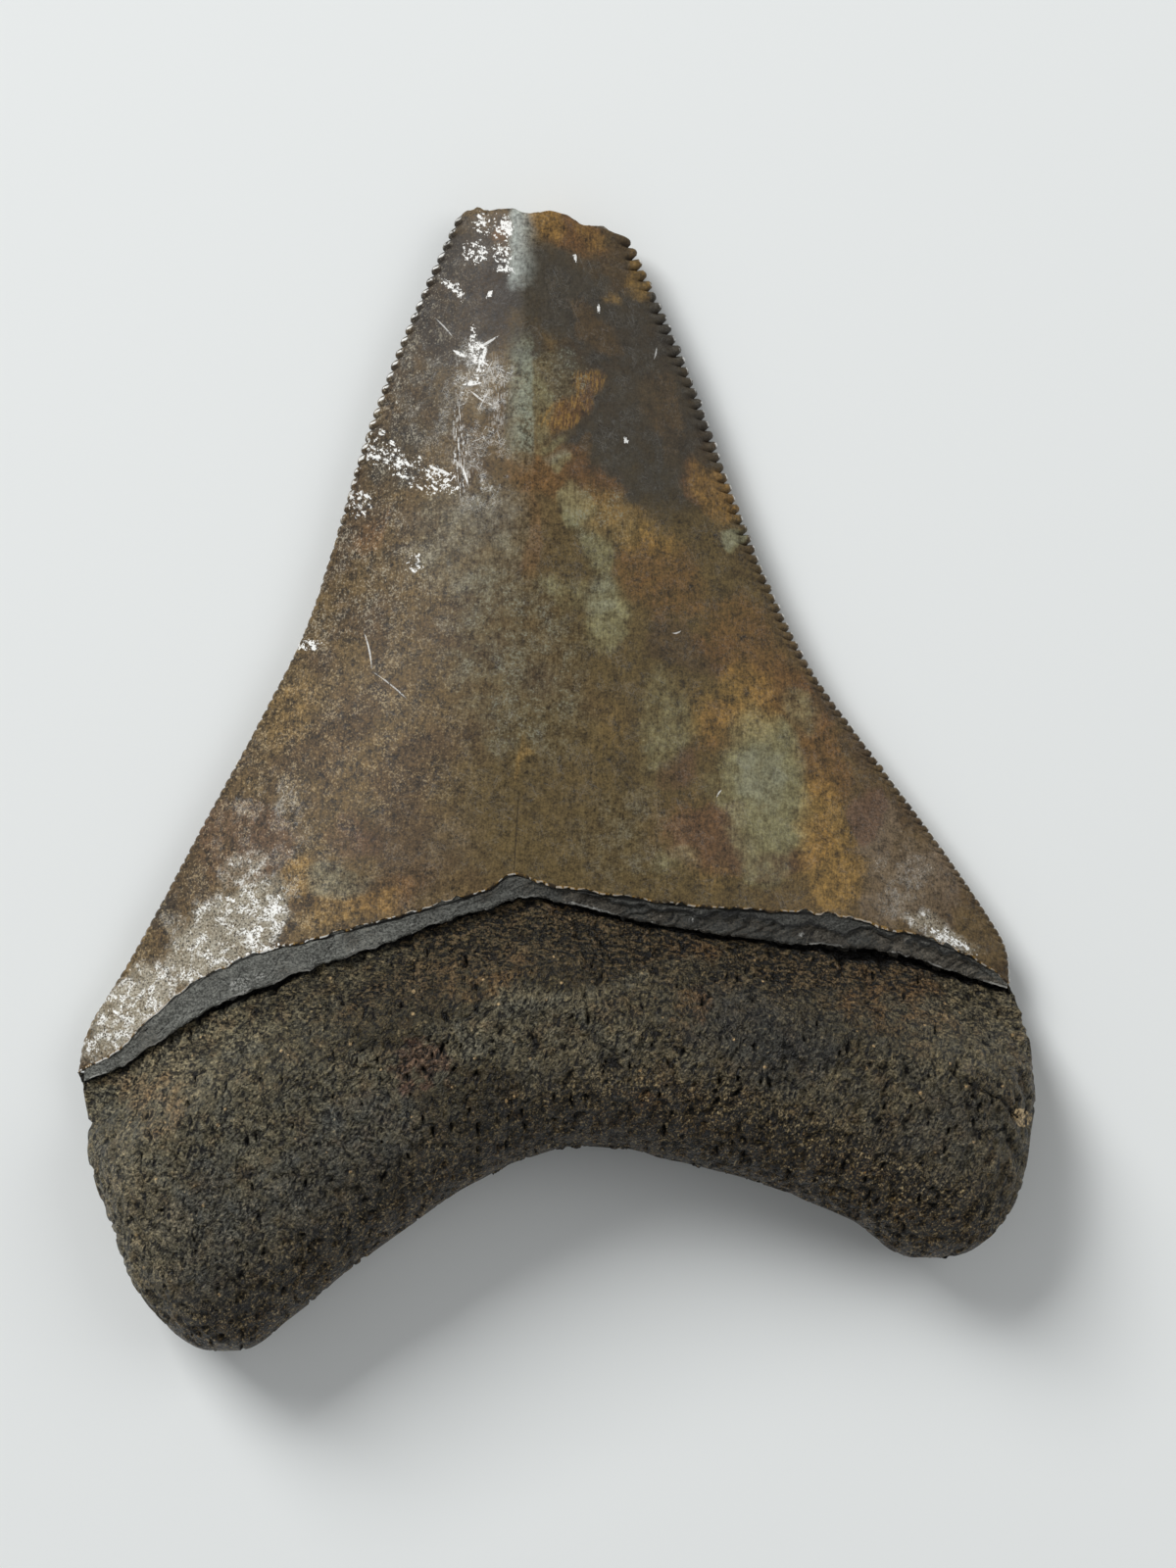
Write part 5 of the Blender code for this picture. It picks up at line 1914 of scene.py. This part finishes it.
@dataclass(frozen=True)
class RootFinish:
    """Dark porous root, black in its pores and tan on its grain, with painted highlights on the grain's tops
    and painted shade in its crevices.
    """

    brown: Colour = srgb(106, 99, 78)
    steel: Colour = srgb(84, 87, 82)
    umber: Colour = srgb(100, 82, 58)
    tan: Colour = srgb(158, 140, 104)
    black: Colour = srgb(10, 9, 8)
    dusk: Colour = srgb(46, 38, 27)
    cast: Colour = srgb(184, 162, 126)
    cream: Colour = srgb(205, 176, 130)
    crack_width: float = 0.09
    crack_strength: float = 0.9
    tints: tuple[Tint, ...] = (  # the lower ones first
        # painted shade under the bourlette's edge, and a darker tone elsewhere on the root; multiplied over
        # the paint
        Tint("dusk", srgb(164, 158, 142), (
            (1, -9.8, 14, 3.2, 0, 1.9), (18, -13, 9, 1.8, -8, 1), (-21, -34, 6, 4, 0, 0.3),
            (14, -15, 12, 4, -6, 0.6), (-14, -13.6, 9, 1.6, 20, 0.6), (-9.5, -14.6, 6.5, 2.6, 18, 1.2),
            (-16, -17.6, 4.5, 2, 30, 0.5), (-5, -20.5, 4, 2.4, 20, 0.8),
        ), opacity=1.0, ragged=2.0, soft=0.5, how="MULTIPLY"),
        Tint("indigo", srgb(58, 63, 66), (
            (13.5, -17, 6, 3, -10, 0.9), (-14, -25, 8, 4, 35, 0.7), (-22, -30, 4, 6, 10, 0.66),
            (24, -24, 5, 4, 20, 0.5),
        ), opacity=0.55, ragged=3.0, soft=0.5),
        Tint("fawn", srgb(132, 120, 94), (
            (-26.4, -19.6, 4, 3), (-26.6, -29, 3.6, 6, 12, 0.8),
        ), opacity=0.34, ragged=2.4, soft=0.5),
        Tint("red", srgb(92, 60, 48), ((-8.6, -18.6, 2.6, 2.4, 0, 0.75),), opacity=0.6),
        Tint("rust", srgb(118, 88, 54), (
            (9.2, -11.8, 2.4, 1, -12, 0.5), (9, -15.6, 2.4, 1.2, -12, 0.6), (5.4, -20.4, 2, 1, 0, 0.55),
            (-0.2, -8.5, 0.8, 0.35), (22, -14.6, 5, 2.4, -8, 0.5), (-5, -12.6, 6, 2, 14, 0.4),
            (-26.5, -21, 3, 2, 0, 0.5),
        ), opacity=0.5, ragged=3.6, soft=0.5),
        Tint("chip", srgb(240, 214, 168), ((31.0, -21.6, 0.5, 0.8, 15, 2.4),), ragged=1.0),
    )

    def make(self, piece: Thing) -> bpy.types.Material:
        """Make the piece's material, and mark its stains on the piece.

        Args:
            piece: The root.

        Returns:
            The material.
        """
        points = strayed(piece, (4.0, 0.9), (1.2, 0.3))
        for tint in self.tints:
            tint.mark(piece, points)
        shop = Shop("fossil_root")
        broad = shop.noise(4.0, 4, seed=21)
        mid = shop.noise(1.4, 5, seed=22, rough=0.64)
        grains = shop.noise(0.28, 3, stretch=(0.75, 1.4, 2.0), turn=-30, seed=23, rough=0.62)
        level = shop.noise(0.28, 3, stretch=(1.7, 0.75, 1.5), turn=-8, seed=26, rough=0.62)
        fibres = shop.noise(0.26, 3, stretch=(0.9, 1.0, 5.0), seed=51, rough=0.65)
        cracks = shop.noise(1.0, 2, stretch=(0.8, 1.2, 1.0), turn=-30, seed=27)
        fine = shop.noise(0.2, 2, stretch=(1.0, 1.0, 2.0), seed=24, rough=0.7)
        grit = shop.noise(0.13, 2, stretch=(1.0, 1.3, 2.0), turn=-20, seed=53, rough=0.6)
        hollow, shade, neck = (shop.attribute(name) for name in ("hollow", "shade", "neck"))
        grains = grains * (1.0 - neck) + level * neck
        cuts = ((cracks - 0.5).size() * 12.0).lower(1.0)
        height = grains.ramp(0.28, 0.72) * 0.4 + cuts * 0.2 + fine * 0.6
        paint = shop.colour(self.brown).under(self.dusk, broad.ramp(0.5, 0.64) * 0.35)
        tone = shop.noise(1.5, 4, seed=28, rough=0.6)
        paint = paint.under(self.steel, tone.ramp(0.5, 0.62) * 0.4)
        paint = paint.under(self.umber, tone.ramp(0.48, 0.36) * 0.45)
        for tint in self.tints:
            paint = paint.blend(tint.how, tint.colour, shop.cover(tint, mid))
        # lighter on the relief's bumps and darker in its lows: painted shading, over random grain
        paint = paint.lit(mid.ramp(0.3, 0.7, 0.78, 1.22) * fine.ramp(0.3, 0.7, 0.5, 1.5))
        contrast = grains.ramp(0.3, 0.7, 0.64, 1.38) + (shade * 2.4 + neck * 2.4) * (grains - 0.5)
        paint = paint.lit(contrast.higher(0.1) * (1.0 - hollow * 0.6))
        # tan on the grain's tops, painted in part as highlights
        crumb = fine * 0.6 + grains * 0.4
        paint = paint.under(self.tan, (crumb + neck * 0.02).ramp(0.57, 0.66) * mid.ramp(0.38, 0.54) * 0.62)
        crumbs, pick = shop.cells(0.5, seed=25)
        sparks = (crumbs + (fine - 0.5) * 0.3).ramp(0.28, 0.16) * pick.ramp(0.955, 0.96)
        paint = paint.under(self.cream, sparks * 0.9)
        paint = paint.times(self.cast, shade)
        arch = shade.ramp(0.3, 0.8)
        paint = paint.under(self.tan, (grit * 0.4 + fibres * 0.6).ramp(0.54, 0.62) * arch * 0.72)
        paint = paint.under(self.black, (fibres * 0.6 + grit * 0.4).ramp(0.5, 0.43) * arch * 0.92)
        front = neck * shop.attribute("dusk").ramp(0.4, 1.0)  # coarse dark grain before the bourlette
        paint = paint.under(self.umber, (level * 0.6 + grit * 0.4).ramp(0.5, 0.58) * front * 0.75)
        paint = paint.under(self.black, (level * 0.6 + fine * 0.4).ramp(0.49, 0.42) * front * 0.9)
        paint = paint.lit(((grit - 0.5) * (arch * 2.0 + 2.4) + 1.0 + (broad - 0.5) * 0.8).higher(0.2))
        # black in the grain's lows: painted shade in its crevices
        paint = paint.under(self.black, (crumb - neck * 0.03).ramp(0.45, 0.37) * 0.65)
        slots, pick = shop.cells(0.7, (0.5, 1.4, 1.0), turn=-14, seed=29)
        slit = (slots + (fine - 0.5) * 0.3).ramp(0.34, 0.27) * pick.ramp(0.7, 0.72) * (1.0 - neck * 0.5)
        paint = paint.under(self.black, slit * 0.95)
        # black along the cuts: painted shade in the crevices of the relief
        paint = paint.under(self.black, (cuts + (grains - 0.5) * 1.6).ramp(0.4, 0.1) * 0.8)
        # black in the pores and the crack, and painted shade in the crevice under the bourlette, the ripple
        # and the relief's hollows
        paint = paint.under(self.black, hollow.ramp(0.35, 0.85) * 0.9)
        line = Root.crack[1:]
        for start, end in zip(line, line[1:]):
            crack = Scratch(start, end, width=self.crack_width, strength=self.crack_strength)
            paint = paint.under(self.black, shop.stroke(crack, (fine - 0.5) * 1.2))
        shop.finish(paint, 0.46 + (fine - 0.5) * 0.4, shop.bump(height, 0.42, 1.0), 0.36)
        return shop.material


# --- dressing, stage and camera ---


class Slot(Enum):
    """Names of the three pieces' materials."""

    ENAMEL = "fossil_enamel"
    BOURLETTE = "bourlette"
    ROOT = "fossil_root"


class Tooth:
    """The whole dressed tooth."""

    def __init__(self) -> None:
        """Set up the form that the pieces share."""
        self.form = ToothForm()

    def settle(self, pieces: Sequence[Thing]) -> None:
        """Move the pieces' meshes so that their middle is over the frame's solid.

        Args:
            pieces: The pieces.
        """
        points = np.vstack([Bench.places(piece) for piece in pieces])
        low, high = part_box(NODE)
        middle = (points.min(axis=0) + points.max(axis=0)) / 2
        shift = np.array([(low[k] + high[k]) / 2 - middle[k] for k in (0, 1)] + [0.0])
        for piece in pieces:
            Bench.place(piece, Bench.places(piece) + shift)

    def build(self) -> None:
        parts = (
            (Crown(self.form), EnamelFinish(), Slot.ENAMEL),
            (Bourlette(self.form), BourletteFinish(), Slot.BOURLETTE),
            (Root(self.form), RootFinish(), Slot.ROOT),
        )
        pieces = []
        for part, finish, slot in parts:
            piece = part.build()
            piece.data.materials.clear()
            piece.data.materials.append(finish.make(piece))
            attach(piece, BODY)
            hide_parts(NODE)
            pieces.append(piece)
            log.info("%s: %d vertices", piece.name, len(piece.data.vertices))
        self.settle(pieces)


@dataclass
class Studio:
    """A pale floor under soft light, and a camera that looks straight down."""

    floor_size: float = 3.0
    floor_colour: Colour = (0.86, 0.885, 0.88)
    camera_distance: float = 0.31
    camera_over: Pair = (2.19, -0.45)
    subject_height: float = 3.5
    view_height: float = 103.0
    floor_roughness: float = 0.9
    world_colour: Colour = (0.98, 0.99, 1.0)
    world_strength: float = 0.28
    lamps: tuple[tuple[str, Triple, float, float], ...] = (
        ("softbox", (-0.62, 0.75, 0.75), 0.55, 12.9),
        ("fill", (0.8, 0.3, 0.9), 0.8, 2.5),
    )  # name, place in metres, size in metres and power in watts
    sensor: float = 36.0
    clip: Pair = (0.01, 20.0)

    def floor(self) -> None:
        """Lay the floor."""
        bpy.ops.object.select_all(action="DESELECT")
        bpy.ops.mesh.primitive_plane_add(size=self.floor_size)
        made = bpy.context.active_object
        made.name = made.data.name = "floor"
        shop = Shop("floor_paper")
        shop.shader.inputs["Base Color"].default_value = (*self.floor_colour, 1.0)
        shop.shader.inputs["Roughness"].default_value = self.floor_roughness
        made.data.materials.append(shop.material)

    def light(self, name: str, at: Triple, size: float, power: float) -> None:
        """Hang a square soft light that faces the tooth.

        Args:
            name: The light's name.
            at: Where it hangs, in metres.
            size: Length of its sides, in metres.
            power: Its power in watts.
        """
        lamp = bpy.data.lights.new(name, "AREA")
        lamp.size, lamp.energy = size, power
        thing = bpy.data.objects.new(name, lamp)
        thing.location = at
        thing.rotation_euler = (-Vector(at)).to_track_quat("-Z", "Y").to_euler()
        bpy.context.scene.collection.objects.link(thing)

    def lights(self) -> None:
        """Light the room softly, most from above and the left."""
        world = bpy.context.scene.world or bpy.data.worlds.new("studio")
        bpy.context.scene.world = world
        world.use_nodes = True
        back = world.node_tree.nodes.get("Background") or world.node_tree.nodes.new("ShaderNodeBackground")
        back.inputs["Color"].default_value = (*self.world_colour, 1.0)
        back.inputs["Strength"].default_value = self.world_strength
        for lamp in self.lamps:
            self.light(*lamp)

    def camera(self) -> None:
        """Hang the camera over the tooth, its tip up in the frame it sees."""
        lens = bpy.data.cameras.new("camera")
        lens.sensor_width = self.sensor
        lens.sensor_fit = "AUTO"
        distance = self.camera_distance - self.subject_height * MM
        lens.lens = lens.sensor_width * distance / (self.view_height * MM)
        lens.clip_start, lens.clip_end = self.clip
        made = bpy.data.objects.new("camera", lens)
        made.location = (self.camera_over[0] * MM, self.camera_over[1] * MM, self.camera_distance)
        bpy.context.scene.collection.objects.link(made)
        bpy.context.scene.camera = made

    def build(self) -> None:
        """Set up the stage."""
        self.floor()
        self.lights()
        self.camera()
        bpy.context.scene.view_settings.view_transform = "Standard"


def main() -> None:
    """Load the frame, build the tooth round it and set the stage."""
    logging.basicConfig(level=logging.INFO, format="%(message)s")
    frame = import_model()
    log.info("frame: %s", ", ".join(sorted(frame["nodes"])))
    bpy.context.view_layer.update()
    Tooth().build()
    Studio().build()


if __name__ == "__main__":
    main()
